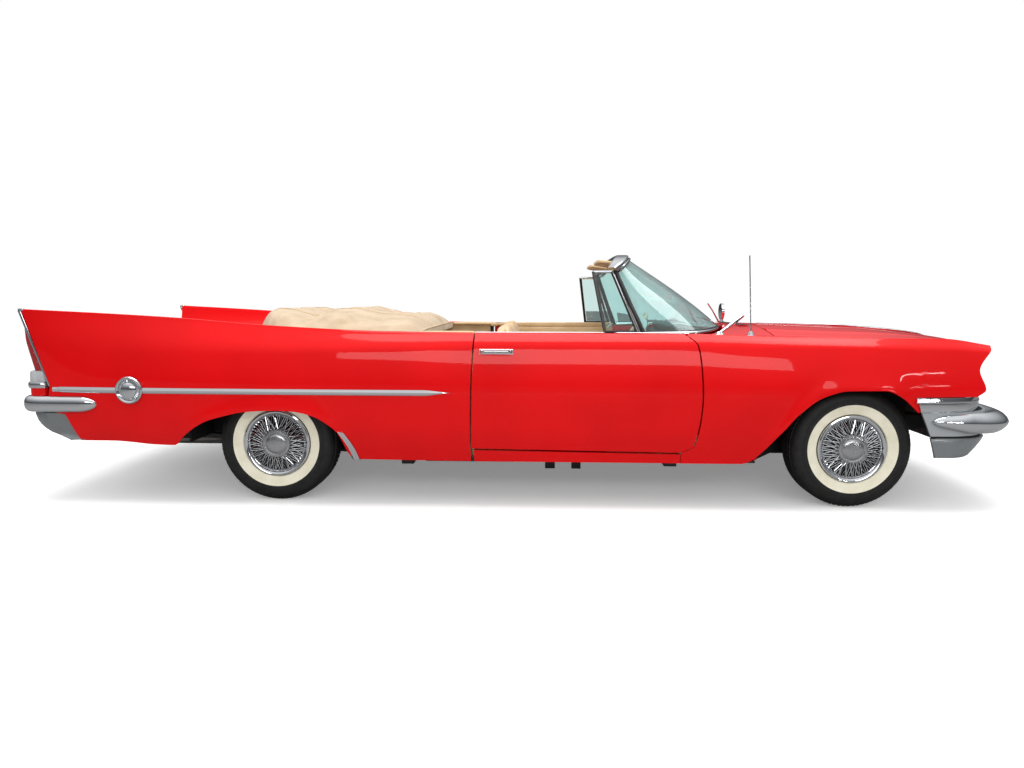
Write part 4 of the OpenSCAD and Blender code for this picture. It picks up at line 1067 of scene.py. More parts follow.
LAMP_R, LAMP_Z = 73, 770
BEZEL_STEPS = 48
lamp_lens = lathe([(0, 40), (LAMP_R - 9, 40), (LAMP_R - 8, 58), (LAMP_R - 22, 66),
                   (LAMP_R / 2, 70.5), (0, 73)], 48)
lamp_bowl = lathe([(0, 0), (40, 6), (LAMP_R - 2, 30), (LAMP_R - 2, 44), (LAMP_R - 8, 44),
                   (40, 14), (0, 8)], 48)
lamp_rim = lathe([(LAMP_R - 9, 50), (LAMP_R - 7, 62), (LAMP_R + 1, 67), (LAMP_R + 8, 60),
                  (LAMP_R + 9, 46), (LAMP_R - 3, 44)], 48)
lamp_bulb = lathe([(0, 8), (8, 10), (10, 24), (0, 32)], 16)
lenses, bowls, rims = [], [], []
for y in (-768, -605, 605, 768):
    spot = spot_at((2380, y, LAMP_Z), 90, "Y")
    lenses.append(placed(lamp_lens, matrix=spot))
    bowls += [placed(lamp_bowl, matrix=spot), placed(lamp_bulb, matrix=spot)]
    rims.append(placed(lamp_rim, matrix=spot))


def bezel_ring(depth, grow):
    """Rounded outline round one pair of lamps."""
    ring = []
    for k in range(BEZEL_STEPS):
        a = 2 * math.pi * k / BEZEL_STEPS
        y = -686 + (158 + grow) * boxier(math.cos(a), 0.55)
        z = LAMP_Z + (80 + grow * 0.6) * boxier(math.sin(a), 0.7)
        ring.append((depth - 16 * max(0, (abs(y) - 780) / 60) ** 2, y, z))
    return ring


bezel = loft([bezel_ring(depth, grow) for depth, grow in (
    (2424, 2), (2466, 6), (2482, 14), (2474, 22), (2420, 22), (2414, 2))], closed=True)
piece("head_lamp_glass", lenses, lamp_glass, replaces=["head_lamps"], slot="lamp_glass")
piece("head_lamp_bowls", bowls, mirror_glass)
piece("head_lamp_rims", rims + both(bezel), chrome)
piece("parking_lamps", both(placed(pillow((8, 62, 14), (6, 12, 6), 3), (2668, -420, 590),
                                   (0, 0, 8))), amber_lens)

# ---------------------------------------------------------------- windscreen and cowl

GLASS_COUNT, GLASS_ROWS = 36, 16
glass_base = through([[0, 1214, 991], [250, 1200, 990], [450, 1160, 988], [620, 1095, 983],
                      [730, 1020, 977], [782, 940, 972], [803, 820, 969], [806, 690, 967]],
                     GLASS_COUNT)
glass_head = through([[0, 645, 1396], [200, 641, 1392], [350, 632, 1386], [470, 617, 1375],
                      [550, 600, 1360], [596, 583, 1343], [620, 565, 1325], [632, 548, 1305]],
                     GLASS_COUNT)


def glass_point(i, s):
    """Point on the windscreen's right half: column i, share s of the way up."""
    b, h = glass_base[i], glass_head[i]
    swell = 40 * 4 * s * (1 - s) * (1 - i / (GLASS_COUNT - 1))
    return [b[1] + (h[1] - b[1]) * s + swell, -(b[0] + (h[0] - b[0]) * s),
            b[2] + (h[2] - b[2]) * s]


def whole(rows):
    """Rows of the right half followed by the left half's."""
    return rows[::-1] + [[[p[0], -p[1], p[2]] for p in row] for row in rows[1:]]


glass_face = whole([[glass_point(i, r / GLASS_ROWS) for r in range(GLASS_ROWS + 1)]
                    for i in range(GLASS_COUNT)])
glass_back = [[[p[0] - 6, p[1] - 2 * np.sign(p[1]), p[2]] for p in row] for row in glass_face]
piece("windscreen", [slab(glass_face, glass_back)], glass, replaces=["windscreen_glass"],
      slot="clear_glass")

base_line = [row[0] for row in whole([[glass_point(i, 0)] for i in range(GLASS_COUNT)])]
head_line = [row[0] for row in whole([[glass_point(i, 1)] for i in range(GLASS_COUNT)])]
base_bar = bar([[p[0] - 2, p[1], p[2] - 13.5] for p in base_line], [14], [14], 16, 2.6)
head_bar = bar([[p[0] - 36, p[1], p[2] + 10] for p in head_line], [38], [16], 20, 5)
head_lip = bar([[p[0] + 10, p[1], p[2] + 2] for p in head_line], [5], [9], 10, 3)
base_seal = bar([[p[0], p[1], p[2] + 1] for p in base_line], [6], [4], 8)
head_seal = bar([[p[0] - 2, p[1], p[2] - 3] for p in head_line], [6], [4], 8)
post_line = through([[668, -799, 953], [655, -787, 990], [592, -706, 1146], [530, -628, 1300],
                     [522, -618, 1320]], 20)
post = bar(post_line, [12], [19, 15, 15, 15], 16, 3)
post_bright = bar([[p[0] - 11, p[1] - 9, p[2]] for p in post_line], [2], [2.6], 8)
latch = placed(block((-30, -8, -7), (30, 8, 3), 3), (590, -330, 1372))
piece("windscreen_chrome", [base_bar, head_bar, head_lip] + both(post_bright, latch), chrome,
      replaces=["windscreen_frame"], slot="chrome")
piece("windscreen_seals", [base_seal, head_seal] + both(post), strip_rubber)

visor = placed(pillow((64, 205, 10), (14, 30, 6), 7, 6), (500, -330, 1359), (0, 8, 0))
for visor_side, turn in SIDES:
    v = piece("sun_visor_" + visor_side, [turn(visor)], leather, slot="tan_leather")
piece("visor_rods", both(bar([(600, -90, 1392), (590, -120, 1388), (585, -480, 1384)], [5], [5],
                             10)), chrome)
piece("rear_view_mirror", [(*placed(pillow((12, 105, 26), (6, 16, 8), 3), (596, 0, 1322),
                                    (0, -8, 0)), 0),
                           (*placed(block((-1.5, -97, -20), (1.5, 97, 20), 1.4),
                                    (585, 0, 1321), (0, -8, 0)), 1),
                           (*bar([(632, 0, 1392), (616, 0, 1360), (602, 0, 1330)], [5], [5], 10),
                            0)], [chrome, mirror_glass])

COWL_ROWS = 10


def base_x(y):
    """Where the foot of the windscreen stands."""
    return float(np.interp(abs(y), glass_base[:, 0], glass_base[:, 1]))


def cowl_point(s, v):
    """Point on the cowl, between the windscreen and the hood."""
    x0 = base_x(v * 740) + 28
    x = x0 + s * (1432 - x0)
    edge = at("valley_z", x)
    z1 = edge + (992 - edge) * (1 - abs(v) ** 2.4)
    z0 = edge + (984 - edge) * (1 - abs(v) ** 3)
    return [x, v * (inner_y(x) - SHUT), z0 + s * (z1 - z0)]


cowl_top = [[cowl_point(s, v) for v in np.linspace(-1, 1, 61)]
            for s in np.linspace(0, 1, COWL_ROWS)]
cowl = slab(cowl_top, [[[p[0], p[1], p[2] - 10] for p in row] for row in cowl_top])
firewall = [block((1300, y0, z0), (1312, y1, z1), 2)
            for y0, z0, y1, z1 in ((-812, 413, 812, 915), (-812, 253, -162, 413),
                                   (162, 253, 812, 413))]
pillars = both(block((984, -826, 253), (1312, -808, 917), 3),
               block((660, -808, 895), (1000, -788, 940), 3))
piece("cowl_and_firewall", [cowl] + firewall + pillars, enamel, replaces=["firewall_cowl"],
      slot="red_paint")
# Black strips laid on the cowl stand in for the shaded insides of its vent slots: painted shade.
slot_shade_strips = placed(repeated(block((0, -2, 0), (60, 2, 3), 1.4), strip_rubber, 44,
                          offset=(0, 14, 0)), (1330, -301, 988.2))
piece("cowl_vent_slot_shade", [slot_shade_strips], strip_rubber)

# ---------------------------------------------------------------- dashboard

HELM = (760, 400, 880)
TILT = 58
dash_outline = through([[925, 800], [922, 850], [930, 905], [940, 924], [958, 934], [1040, 936],
                        [1040, 700], [1000, 690], [985, 692]], 60)
dash = extruded([(x, z) for x, z in dash_outline], -787, 787)
dash_pad = extruded([(x, z) for x, z in through([[922, 905], [934, 926], [958, 938], [1036, 940],
                                                 [1036, 936], [958, 933], [940, 922],
                                                 [928, 903]], 40)], -780, 780)
column_tube = placed(lathe([(0, 40), (27, 40), (30, 46), (30, 60), (25, 66), (25, 240), (0, 240)],
                           32), matrix=spot_at(HELM, 180 - TILT, "Y"))
pod = placed(pillow((26, 190, 52), (10, 24, 12), 4), (924, 400, 868), (0, -8, 0))
piece("dashboard_painted", [dash, column_tube], enamel, replaces=["dashboard"], slot="red_paint")
dash_roll = placed(pillow((58, 640, 29), (16, 60, 10), 5), (984, 0, 958))
made = piece("dashboard_pad", [dash_pad, dash_roll], dash_hide)
piece("instrument_pod", [pod], black_plastic)


def on_dash(part, y, z, x=904):
    """The part turned to face the driver, on the dashboard."""
    return placed(placed(part, turn=(0, -90, 0)), (x, y, z), (0, -8, 0))


dial_face = lathe([(0, 0), (36, 0), (36, 3), (0, 3)], 40)
dial_rim = lathe([(35, 0), (41, 2), (41, 7), (38, 9), (35, 6)], 40)
tick = block((27, -0.9, 3), (33, 0.9, 4.2), 0.4)
ticks = repeated(tick, dial_paint, 20, turn=(0, 0, 14))
needle = block((-4, -0.8, 4), (24, 0.8, 5), 0.3)
knob = lathe([(0, 0), (6, 0), (6, 10), (12, 13), (13, 20), (9, 24), (0, 25)], 20)
dials = (310, 400, 490)
piece("dials", [(*on_dash(dial_face, y, 868, 899), 0) for y in dials]
      + [(*on_dash(dial_rim, y, 868, 899), 1) for y in dials]
      + [(*on_dash(ticks, y, 868, 899), 2) for y in dials]
      + [(*on_dash(needle, y, 868, 899), 2) for y in dials],
      [black_plastic, chrome, dial_paint])
speaker = placed(repeated(block((0, -62, 0), (3, 62, 3), 0.8), chrome, 9, offset=(0, 0, 9)),
                 (921, 0, 812))
trim_strip = [block((921, -780, 798), (927, 780, 804), 1.5),
              block((922, -780, 886), (928, 205, 892), 1.5)]
glove_box = block((920, -640, 814), (925, -280, 878), 3)
glove_lock = on_dash(lathe([(0, 0), (11, 0), (11, 5), (6, 8), (0, 8)], 20), -460, 866, 922)
piece("dash_chrome", [speaker, glove_lock] + trim_strip
      + [on_dash(knob, y, 830, 924) for y in (130, 175, 230, -130, -175)], chrome)
piece("glove_box_lid", [glove_box], enamel)

# Steering wheel: rim, two spokes, horn ring and hub
helm_spot = spot_at(HELM, -TILT, "Y")
RIM_R, RIM_T = 193, 12


def ring_section(a, radius, thick, sides, z=0):
    """Round section of a level ring at the angle a."""
    return [((radius + thick * math.cos(b)) * math.cos(a),
             (radius + thick * math.cos(b)) * math.sin(a), z + thick * math.sin(b))
            for b in np.linspace(0, 2 * math.pi, sides, endpoint=False)]


def grip(a):
    """Thickness of the rim, with finger grips at its top and bottom."""
    return RIM_T - 0.7 * max(0, math.cos(48 * a)) * (abs(math.cos(a)) < 0.8)


turns = [2 * math.pi * k / 96 for k in range(96)]
rim = loft([ring_section(a, RIM_R, grip(a), 14) for a in turns], closed=True)
spokes = [bar([(0, s * 30, -6), (-3, s * 90, -8), (0, s * 186, -1)], [15, 12, 13], [6, 5, 6],
              12, 3) for s in (-1, 1)]
horn_ring = loft([ring_section(a, 118, 4, 8, 6)
                  for a in np.linspace(math.pi * 0.5, math.pi * 1.5, 48)])
horn_arms = [bar([(-8, s * 28, 2), (0, s * 118, 6)], [5], [3.5], 8) for s in (-1, 1)]
helm_hub = lathe([(0, -30), (34, -30), (36, -20), (36, -4), (30, 2), (0, 4)], 40)
helm_cap = lathe([(0, 2), (26, 2), (24, 8), (12, 11), (0, 12)], 40)
piece("steering_wheel_rim", [placed(p, matrix=helm_spot) for p in [rim, helm_hub] + spokes],
      cream_plastic, "steering_wheel", ["steering_wheel"], "cream_plastic")
piece("horn_ring", [placed(p, matrix=helm_spot) for p in [horn_ring, helm_cap] + horn_arms],
      chrome, "steering_wheel")

pedal = block((-8, -36, -28), (0, 36, 28), 4)
piece("pedals", [placed(pedal, (1195, 330, 400), (0, -35, 0)),
                 placed(block((-8, -22, -70), (0, 22, 70), 4), (1190, 190, 390), (0, -40, 0)),
                 bar([(1200, 330, 405), (1260, 330, 470), (1300, 330, 560)], [8], [8], 8)],
      black_plastic)
piece("inner_mirror_switches", both(on_dash(knob, 620, 850, 926)), cream_plastic)

# ---------------------------------------------------------------- seats


def wrinkle(p, size, seed):
    return noise.noise(Vector((p[0] / size + seed, p[1] / size, p[2] / size)))


def pleated(v, pleats):
    """0 in the sewn grooves and 1 between them, across a cushion."""
    return abs(math.sin(math.pi * pleats * (v + 1) / 2)) ** 0.45


def seat_base(x0, x1, z0, z1, hw, pleats, seed):
    """Bench cushion: flat below, crowned above, pleats running fore and aft."""
    pts, faces = pillow(((x1 - x0) / 2, hw, (z1 - z0) / 2), (30, 150, 12), 6.5)
    out = []
    for p in pts:
        u, v, w = p[0] / ((x1 - x0) / 2), p[1] / hw, p[2] / ((z1 - z0) / 2)
        top = max(0, w)
        rise = 16 * top * (1 - u * u) * (1 - abs(v) ** 6)
        inside = (abs(v) < 0.93) * (-0.72 < u < 0.78)
        rise += top ** 3 * inside * 9 * (pleated(v, pleats) - 0.7)
        for edge in (-0.72, 0.78):
            rise -= top ** 3 * 7 * math.exp(-((u - edge) / 0.035) ** 2) * (abs(v) < 0.95)
        front = max(0, u) ** 2
        dip = -18 * top * max(0, -u)
        q = np.array([(x0 + x1) / 2 + p[0] + front * 6 * (1 - w * w), p[1],
                      (z0 + z1) / 2 + p[2] + rise + dip])
        q[2] += 1.6 * top * wrinkle(p, 90, seed)
        out.append(q)
    return np.array(out), faces


def seat_back(foot, head, thick, hw, mid_y, pleats, seed):
    """Seat back: a leaning cushion with upright pleats and a rolled top."""
    foot, head = np.array(foot, float), np.array(head, float)
    half = np.linalg.norm(head - foot) / 2
    along = (head - foot) / (2 * half)
    front = np.array([along[1], -along[0]])
    pts, faces = pillow((half, hw, thick / 2), (44, int(hw / 7), 10), 6)
    out = []
    for p in pts:
        u, v, w = p[0] / half, p[1] / hw, p[2] / (thick / 2)
        face = max(0, w)
        rise = 13 * face * (1 - abs(u) ** 3) * (1 - abs(v) ** 4)
        inside = (abs(v) < 0.86) * (-0.95 < u < 0.62)
        rise += face ** 3 * inside * 8 * (pleated(v, pleats) - 0.7)
        rise -= face ** 3 * 8 * math.exp(-((u - 0.64) / 0.03) ** 2) * (abs(v) < 0.9)
        rise -= face ** 3 * 6 * math.exp(-((abs(v) - 0.88) / 0.02) ** 2) * (u < 0.62)
        rise += 1.5 * face * wrinkle(p, 80, seed) - 14 * face * max(0, u) ** 3
        xz = (foot + head) / 2 + along * p[0] + front * (p[2] + rise)
        out.append((xz[0], mid_y + p[1], xz[1]))
    return np.array(out), faces


def welt(path, r=3.2):
    return bar(path, [r], [r], 8, level=False)


BACK_MID = 362.5
cushions = {
    "front_seat_cushion": (seat_base(32, 528, 416, 548, 722, 26, 3.1), 0.8),
    "front_back_right": (seat_back((-28, 430), (-112, 984), 104, 356, -BACK_MID, 11, 5.7), 0.75),
    "front_back_left": (seat_back((-28, 430), (-112, 984), 104, 356, BACK_MID, 11, 8.3), 0.75),
    "rear_seat_cushion": (seat_base(-718, -316, 416, 508, 582, 20, 11.9), 0.8),
    "rear_seat_back": (seat_back((-776, 424), (-842, 903), 92, 582, 0, 20, 14.3), 0.75)}
stands_for = {"front_seat_cushion": ["front_seat"], "rear_seat_cushion": ["rear_seat"]}
for name, (part, fill) in cushions.items():
    made = piece(name, [part], leather, replaces=stands_for.get(name, []), slot="tan_leather",
                 angle=60)
welts = [welt([(522, -712, 520), (534, -600, 528), (536, 0, 530), (534, 600, 528),
               (522, 712, 520)])]
for mid in (-BACK_MID, BACK_MID):
    welts.append(welt(through([(-10, mid - 346, 500), (-62, mid - 348, 900),
                               (-98, mid - 330, 972), (-104, mid, 982), (-98, mid + 330, 972),
                               (-62, mid + 348, 900), (-10, mid + 346, 500)], 60)))
welts.append(welt(across_car([(-735, -574, 500), (-790, -576, 840), (-826, -552, 898),
                              (-830, 0, 903)], 60)))
piece("seat_welts", welts, binding)
front_rails = [block((x0, y0, 262), (x1, y1, z1), 3)
               for x0, y0, x1, y1, z1 in ((70, -660, 470, -640, 414), (70, -200, 470, -180, 414),
                                          (70, -640, 90, -200, 300), (450, -640, 470, -200, 300))]
seat_frames = both(*front_rails, block((-700, -570, 253), (-350, -180, 414), 4))
piece("seat_frames", seat_frames, chassis_black)
piece("seat_side_chrome", both(block((60, -727, 424), (505, -722, 440), 2)), chrome)

# ---------------------------------------------------------------- door trim and fittings

HANDLE_X, HANDLE_Z = -135, 863
PANEL_HL, PANEL_HH = 542, 295
for side, turn in SIDES:
    body = "door_" + side
    pad = placed(pillow((PANEL_HL, PANEL_HH, 8.5), (80, 50, 4), 14), turn=(90, 0, 0))
    pts = []
    for p in pad[0]:
        q = np.array([p[0] + 317.5, p[1] - DOOR_IN + 8.8, p[2] + 640])
        face = p[1] > 0
        u, v = p[0] / PANEL_HL, p[2] / PANEL_HH
        swell = 5 * max(0, 1 - u * u) * max(0, 1 - v ** 4)
        lines = sum(math.exp(-((p[2] - h) / 4) ** 2) for h in (-140, 60, 170))
        pleat = 0
        if -140 < p[2] < 60:
            pleat = 2.2 * (1 - abs(math.sin(math.pi * p[0] / 42)) ** 0.5)
        if face:
            q[1] += swell - 3 * lines - pleat
        pts.append(q)
    made = piece("door_panel_" + side, [turn((np.array(pts), pad[1]))], leather, body,
                 ["door_trim_" + side], "tan_leather", angle=60)
    roll = placed(pillow((548, 9, 17), (70, 6, 8), 4), (306, -DOOR_IN + 9, 949))
    made = piece("door_top_roll_" + side, [turn(roll)], leather, body, slot="tan_leather",
                 angle=60)
    rest = placed(pillow((205, 24, 25), (30, 10, 8), 4), (272, -DOOR_IN + 38, 664))
    made = piece("arm_rest_" + side, [turn(rest)], leather, body, slot="tan_leather", angle=60)
    # Window crank with its boss and knob, and the pull that opens the door
    crank = [placed(lathe([(0, 0), (16, 0), (14, 8), (8, 12), (0, 12)], 24),
                    (560, -DOOR_IN + 20, 610), (-90, 0, 0)),
             bar([(560, -DOOR_IN + 30, 610), (520, -DOOR_IN + 36, 640), (478, -DOOR_IN + 38, 655)],
                 [7, 5, 6], [4], 10),
             placed(lathe([(0, 0), (9, 0), (11, 14), (8, 22), (0, 24)], 20),
                    (478, -DOOR_IN + 38, 655), (-90, 0, 0)),
             bar([(640, -DOOR_IN + 30, 730), (700, -DOOR_IN + 34, 734), (752, -DOOR_IN + 28, 730)],
                 [9, 8, 5], [5], 10)]
    kick = block((-210, -DOOR_IN + 14, 372), (840, -DOOR_IN + 18, 380), 1)
    waist = bar([(-224, -DOOR_IN + 14, 830), (840, -DOOR_IN + 14, 826)], [4], [7], 10, 3)
    handle_y = half_w(HANDLE_X, HANDLE_Z)
    bow = [(-219, 2), (-212, 20), (-180, 25), (-90, 25), (-58, 20), (-51, 2)]
    handle = [bar(through([(x, -handle_y - out, HANDLE_Z) for x, out in bow], 30),
                  [5, 6, 6, 6, 5], [9, 10.5, 11, 10.5, 9], 14, 3, level=False),
              placed(lathe([(0, 0), (11, 0), (10, 8), (0, 9)], 24),
                     (-66, -handle_y - 20, HANDLE_Z), (90, 0, 0)),
              placed(block((-92, -2, -15), (92, 2, 15), 1.8),
                     (HANDLE_X, -handle_y - 1.6, HANDLE_Z), (2.4, 0, 0))]
    belt = bar([(-252, -858, 963), (446, -862, 964.5), (700, -858, 963.6), (876, -852, 962)],
               [4], [3.2], 10, 3)
    vent = [(633, -848, 966.6), (508, -648, 1302), (402, -655, 1300), (455, -860, 967.3)]
    corners = vent + [(621, -848, 967.6)]
    frame_front, frame_top, frame_rear, frame_foot = (
        bar(corners[k:k + 2], [9], [high], 12, 3, level=False)
        for k, high in enumerate((8, 9, 8, 8)))
    bright = bar([(x + 3, y - 9, z) for x, y, z in vent[:2]], [1.4], [1.8], 8, level=False)
    catch = bar([(470, -838, 990), (492, -826, 1010), (500, -800, 1012)], [4], [4], 8)
    piece("door_brightwork_" + side, [turn(p) for p in crank + handle
                                      + [bright, catch, kick, waist, belt, frame_top]], chrome,
          body, ["door_chrome_" + side], "chrome")
    piece("vent_window_frame_" + side, [turn(p) for p in (frame_front, frame_rear, frame_foot)],
          strip_rubber, body)
    seal = bar([(-250, -846, 961), (440, -850, 963), (640, -846, 963)], [7], [4], 8)
    piece("belt_weatherstrip_" + side, [turn(seal)], strip_rubber, body)

# ---------------------------------------------------------------- folded roof cover

COVER_HW = 799
COVER_REAR, COVER_FRONT, COVER_RIM_Z = -1688, -568, 957
cover_line = curve([[-1688, 958], [-1672, 990], [-1648, 1034], [-1615, 1068], [-1560, 1082],
                    [-1480, 1078], [-1400, 1060], [-1317, 1048], [-1240, 1062], [-1120, 1086],
                    [-1030, 1080], [-950, 1068], [-860, 1052], [-760, 1047], [-680, 1043],
                    [-630, 1026], [-590, 990], [-568, 962]])


def drawn_in(x, v):
    """The cover's outline is arched: its sides start further forward than its middle."""
    return x - 285 * abs(v) ** 2.2 * min(1, max(0, (-1130 - x) / 320))


def cover_height(x, v):
    """Height of the folded roof's cover, with its bows, folds and wrinkles."""
    crown = cover_line(max(COVER_REAR, drawn_in(x, v))) - COVER_RIM_Z
    base = COVER_RIM_Z + crown * (1 - abs(v) ** 5 * 0.92)
    y = v * COVER_HW
    room = ((1 - abs(v) ** 8) * min(1, max(0, drawn_in(x, v) - COVER_REAR) / 70)
            * min(1, (COVER_FRONT - x) / 60))
    bow_gap = -9 * math.exp(-((x + 1300 + 26 * math.sin(v * 2.4)) / 46) ** 2)
    fold = -11 * math.exp(-((x + 860 + 0.05 * y) / 30) ** 2) * (0.6 + 0.4 * math.sin(y / 140))
    rib = 7 * math.exp(-((x + 1030 + 22 * math.sin(y / 260)) / 40) ** 2)
    wave = noise.noise(Vector((x / 150 + y / 900, y / 210, 3.7)))
    crease = abs(noise.noise(Vector((x / 120 - y / 420, y / 90, 9.1))))
    fine = noise.noise(Vector((x / 34, y / 60, 1.3)))
    pull = 5 * math.cos(x / 21) * max(0, abs(v) - 0.62) ** 1.5 * 4
    return base + room * (bow_gap + fold + rib + 11 * wave - 12 * crease + 2 * fine + pull)


cover_xs = np.linspace(COVER_REAR, COVER_FRONT, 190)
cover_vs = np.sin(np.linspace(-math.pi / 2, math.pi / 2, 200)) * 0.35 + np.linspace(
    -1, 1, 200) * 0.65
cover_top = [[(x, v * COVER_HW, cover_height(x, v) + 1) for v in cover_vs] for x in cover_xs]
cover_under = [[(x, v * COVER_HW, 926) for v in cover_vs] for x in cover_xs]
cover = piece("folded_roof_cover", [slab(cover_top, cover_under)], cloth,
              replaces=["top_cover"], slot="tan_cloth", angle=70)


def on_cover(x, v, up=2.5):
    """Point just above the cover."""
    return (x, v * COVER_HW, cover_height(x, v) + up)


seam_lines = [[on_cover(x, v) for x in np.linspace(-1670, -590, 90)] for v in (-0.42, 0.42)]
seam_lines.append([on_cover(-1226, v) for v in np.linspace(-0.985, 0.985, 120)])
edge_tape = [[on_cover(x, v, 1) for v in np.linspace(-0.99, 0.99, 60)] for x in (-1684, -574)]
piece("cover_seams", [bar(p, [4.5], [2.2], 8) for p in seam_lines]
      + [bar(p, [7], [3], 8) for p in edge_tape], binding)
snap = lathe([(0, 0), (8, 0), (8, 2), (5, 4.5), (0, 5)], 14)
piece("cover_snaps", both(placed(repeated(snap, satin_chrome, 11, offset=(100, 0, 0)),
                                 (-1640, -806, 962))), satin_chrome)
piece("cabin_rail", both(bar(through([(-560, -800, 953), (-400, -802, 953), (-285, -806, 953)],
                                     20), [6], [3], 10, 3),
                         bar(through([(-1690, -803, 958), (-1300, -805, 967), (-900, -807, 961),
                                      (-565, -808, 958)], 40), [4], [3], 10, 3)), chrome)
well_trim = both(placed(pillow((158, 29, 12), (30, 8, 4), 5), (-411, -794, 956)),
                 placed(pillow((28, 14, 14), (8, 6, 4), 5), (-250, -781, 949)))
piece("door_jamb_seals", both(block((-276, -824, 330), (-254, -818, 940), 2)), strip_rubber)
made = piece("quarter_top_pads", well_trim, leather, slot="tan_leather", angle=60)

# ---------------------------------------------------------------- kept CAD pieces

kept = {
    chassis_black: ["chassis_frame", "running_gear", "rear_axle"],
    undercoat: ["wheelhouses"],
    floor_steel: ["floor_pan"],
    enamel: ["sills", "nose_panel", "tail_panel"],
    trim_vinyl: ["cabin_trim"],
    exhaust_steel: ["exhaust"],
    tank_metal: ["fuel_tank"],
    engine_enamel: ["engine"],
    cast_iron: ["knuckle_right", "knuckle_left"],
    chrome: ["fender_fittings"],
    glass: ["vent_glass_right", "vent_glass_left"]}
for finish, names in kept.items():
    for name in names:
        for place in nodes[name].material_slots:
            place.material = finish

# ---------------------------------------------------------------- engine bay and underside

valve_covers = both(block((1462, -318, 748), (2010, -196, 792), 10))
cover_bolts = both(placed(repeated(lathe([(0, 0), (7, 0), (7, 6), (0, 7)], 6), chrome, 6,
                                   offset=(100, 0, 0)), (1486, -257, 792)))
air_cleaner = placed(lathe([(0, 0), (150, 0), (168, 8), (170, 40), (166, 62), (120, 74),
                            (30, 80), (0, 80)], 48), (1740, 0, 752))
wing_nut = placed(lathe([(0, 0), (12, 0), (10, 10), (4, 16), (0, 16)], 16), (1740, 0, 830))
plug_leads = [bar(through([(1500 + 110 * k, s * 312, 730), (1500 + 110 * k, s * 340, 770),
                           (1520 + 100 * k, s * 250, 806), (1480, s * 60, 800)], 24),
                  [3.6], [3.6], 8, level=False) for k in range(4) for s in (-1, 1)]
hoses = [bar(through([(2080, -60, 720), (2160, -70, 760), (2300, -120, 800), (2420, -120, 812)],
                     20), [19], [19], 14, level=False),
         bar(through([(2080, 100, 420), (2200, 120, 440), (2420, 180, 480)], 16), [22], [22], 14,
             level=False)]
fan_blade = placed(block((30, -38, -2), (200, 38, 2), 2), turn=(28, 0, 0))
fan = placed(repeated(fan_blade, chassis_black, 5, turn=(0, 0, 72)), (2200, 0, 560), (0, 90, 0))
fan_hub = placed(lathe([(0, -20), (40, -20), (46, 0), (40, 30), (0, 34)], 32), (2180, 0, 560),
                 (0, 90, 0))
pulley = placed(lathe([(0, 0), (70, 0), (76, 6), (66, 14), (76, 22), (70, 28), (0, 28)], 40),
                (2102, 0, 430), (0, 90, 0))
battery = block((2020, 360, 620), (2230, 455, 800), 6)
battery_caps = placed(repeated(lathe([(0, 0), (11, 0), (11, 8), (0, 9)], 16), black_plastic, 6,
                               offset=(32, 0, 0)), (2044, 408, 800))
radiator_fins = placed(repeated(block((0, -300, 0), (3, 300, 2), 0.5), dark_mesh, 44,
                                offset=(0, 0, 7.2)), (2457, 0, 480))
radiator_tank = block((2406, -326, 820), (2459, 326, 858), 8)
radiator_cap = placed(lathe([(0, 0), (26, 0), (26, 10), (16, 14), (0, 14)], 24), (2432, 150, 858))
brace = both(bar([(1330, -420, 880), (1420, -440, 886), (2250, -440, 884)], [12], [8], 10, 3))
piece("valve_covers", valve_covers + [air_cleaner], engine_enamel)
piece("engine_bright_parts", cover_bolts + [wing_nut, radiator_cap], satin_chrome)
piece("plug_leads_and_hoses", plug_leads + hoses, strip_rubber)
piece("fan_and_pulley", [fan, fan_hub, pulley], chassis_black)
piece("battery", [battery, battery_caps], black_plastic)
piece("radiator", [radiator_fins, radiator_tank], dark_mesh)
piece("bay_braces", brace, chassis_black)

# Ribs pressed into the floor, bolts on the frame, fins of the rear drums, brake line, spring
# clips and shock absorbers, tail pipe tips and the frame of a number plate
floor_ribs = both(*[placed(repeated(block((-long, -6, -6), (long, 6, 0), 3), floor_steel, 6,
                                    offset=(0, 52, 0)), (x, -800, 242))
                    for long, x in ((300, 560), (240, -420))])
boot_ribs = placed(repeated(block((-300, -8, 0), (300, 8, 5), 2.5), floor_steel, 11,
                            offset=(0, 105, 0)), (-2240, -525, 420.5))
piece("pressed_ribs", floor_ribs + [boot_ribs], floor_steel)
rail_bolts = both(placed(repeated(placed(lathe([(0, 0), (11, 0), (11, 8), (0, 8)], 6),
                                         turn=(90, 0, 0)), cast_iron, 14,
                                  offset=(150, 0, 0)), (-860, -460, 214)))
drum_fins = both(*[placed(lathe([(134, 0), (143, 3), (134, 6)], 72),
                          (REAR_AXLE_X, 54 - REAR_TRACK / 2 - 24 * k, TYRE_R), (90, 0, 0))
                   for k in range(4)])
diff_cover = placed(lathe([(0, 0), (118, 0), (120, 6), (96, 30), (40, 46), (0, 48)], 40),
                    (REAR_AXLE_X - 96, 0, TYRE_R), (0, -90, 0))
diff_bolts = placed(repeated(placed(lathe([(0, 0), (7, 0), (7, 7), (0, 7)], 6), (108, 0, 4)),
                             cast_iron, 12, turn=(0, 0, 30)), (REAR_AXLE_X - 98, 0, TYRE_R),
                    (0, -90, 0))
piece("under_fasteners", rail_bolts + [diff_cover, diff_bolts], cast_iron)
piece("rear_drum_fins", drum_fins, cast_iron)
brake_line = bar(through([(-1384, 60, 385), (-1300, 200, 392), (-1060, 360, 530),
                          (-900, 372, 250), (0, 372, 246), (1200, 372, 246)], 60), [4], [4], 8,
                 level=False)
leaf_clips = both(*[block((x, -534, z - 4), (x + 30, -466, z + 40), 3)
                    for x, z in ((-1760, 282), (-1040, 228))])
u_bolts = both(*[bar([(x, -500 + s * 34, 250), (x, -500 + s * 34, 372), (x, -500 + s * 34, 384)],
                     [6], [6], 8, level=False) for x in (-1430, -1338) for s in (-1, 1)])
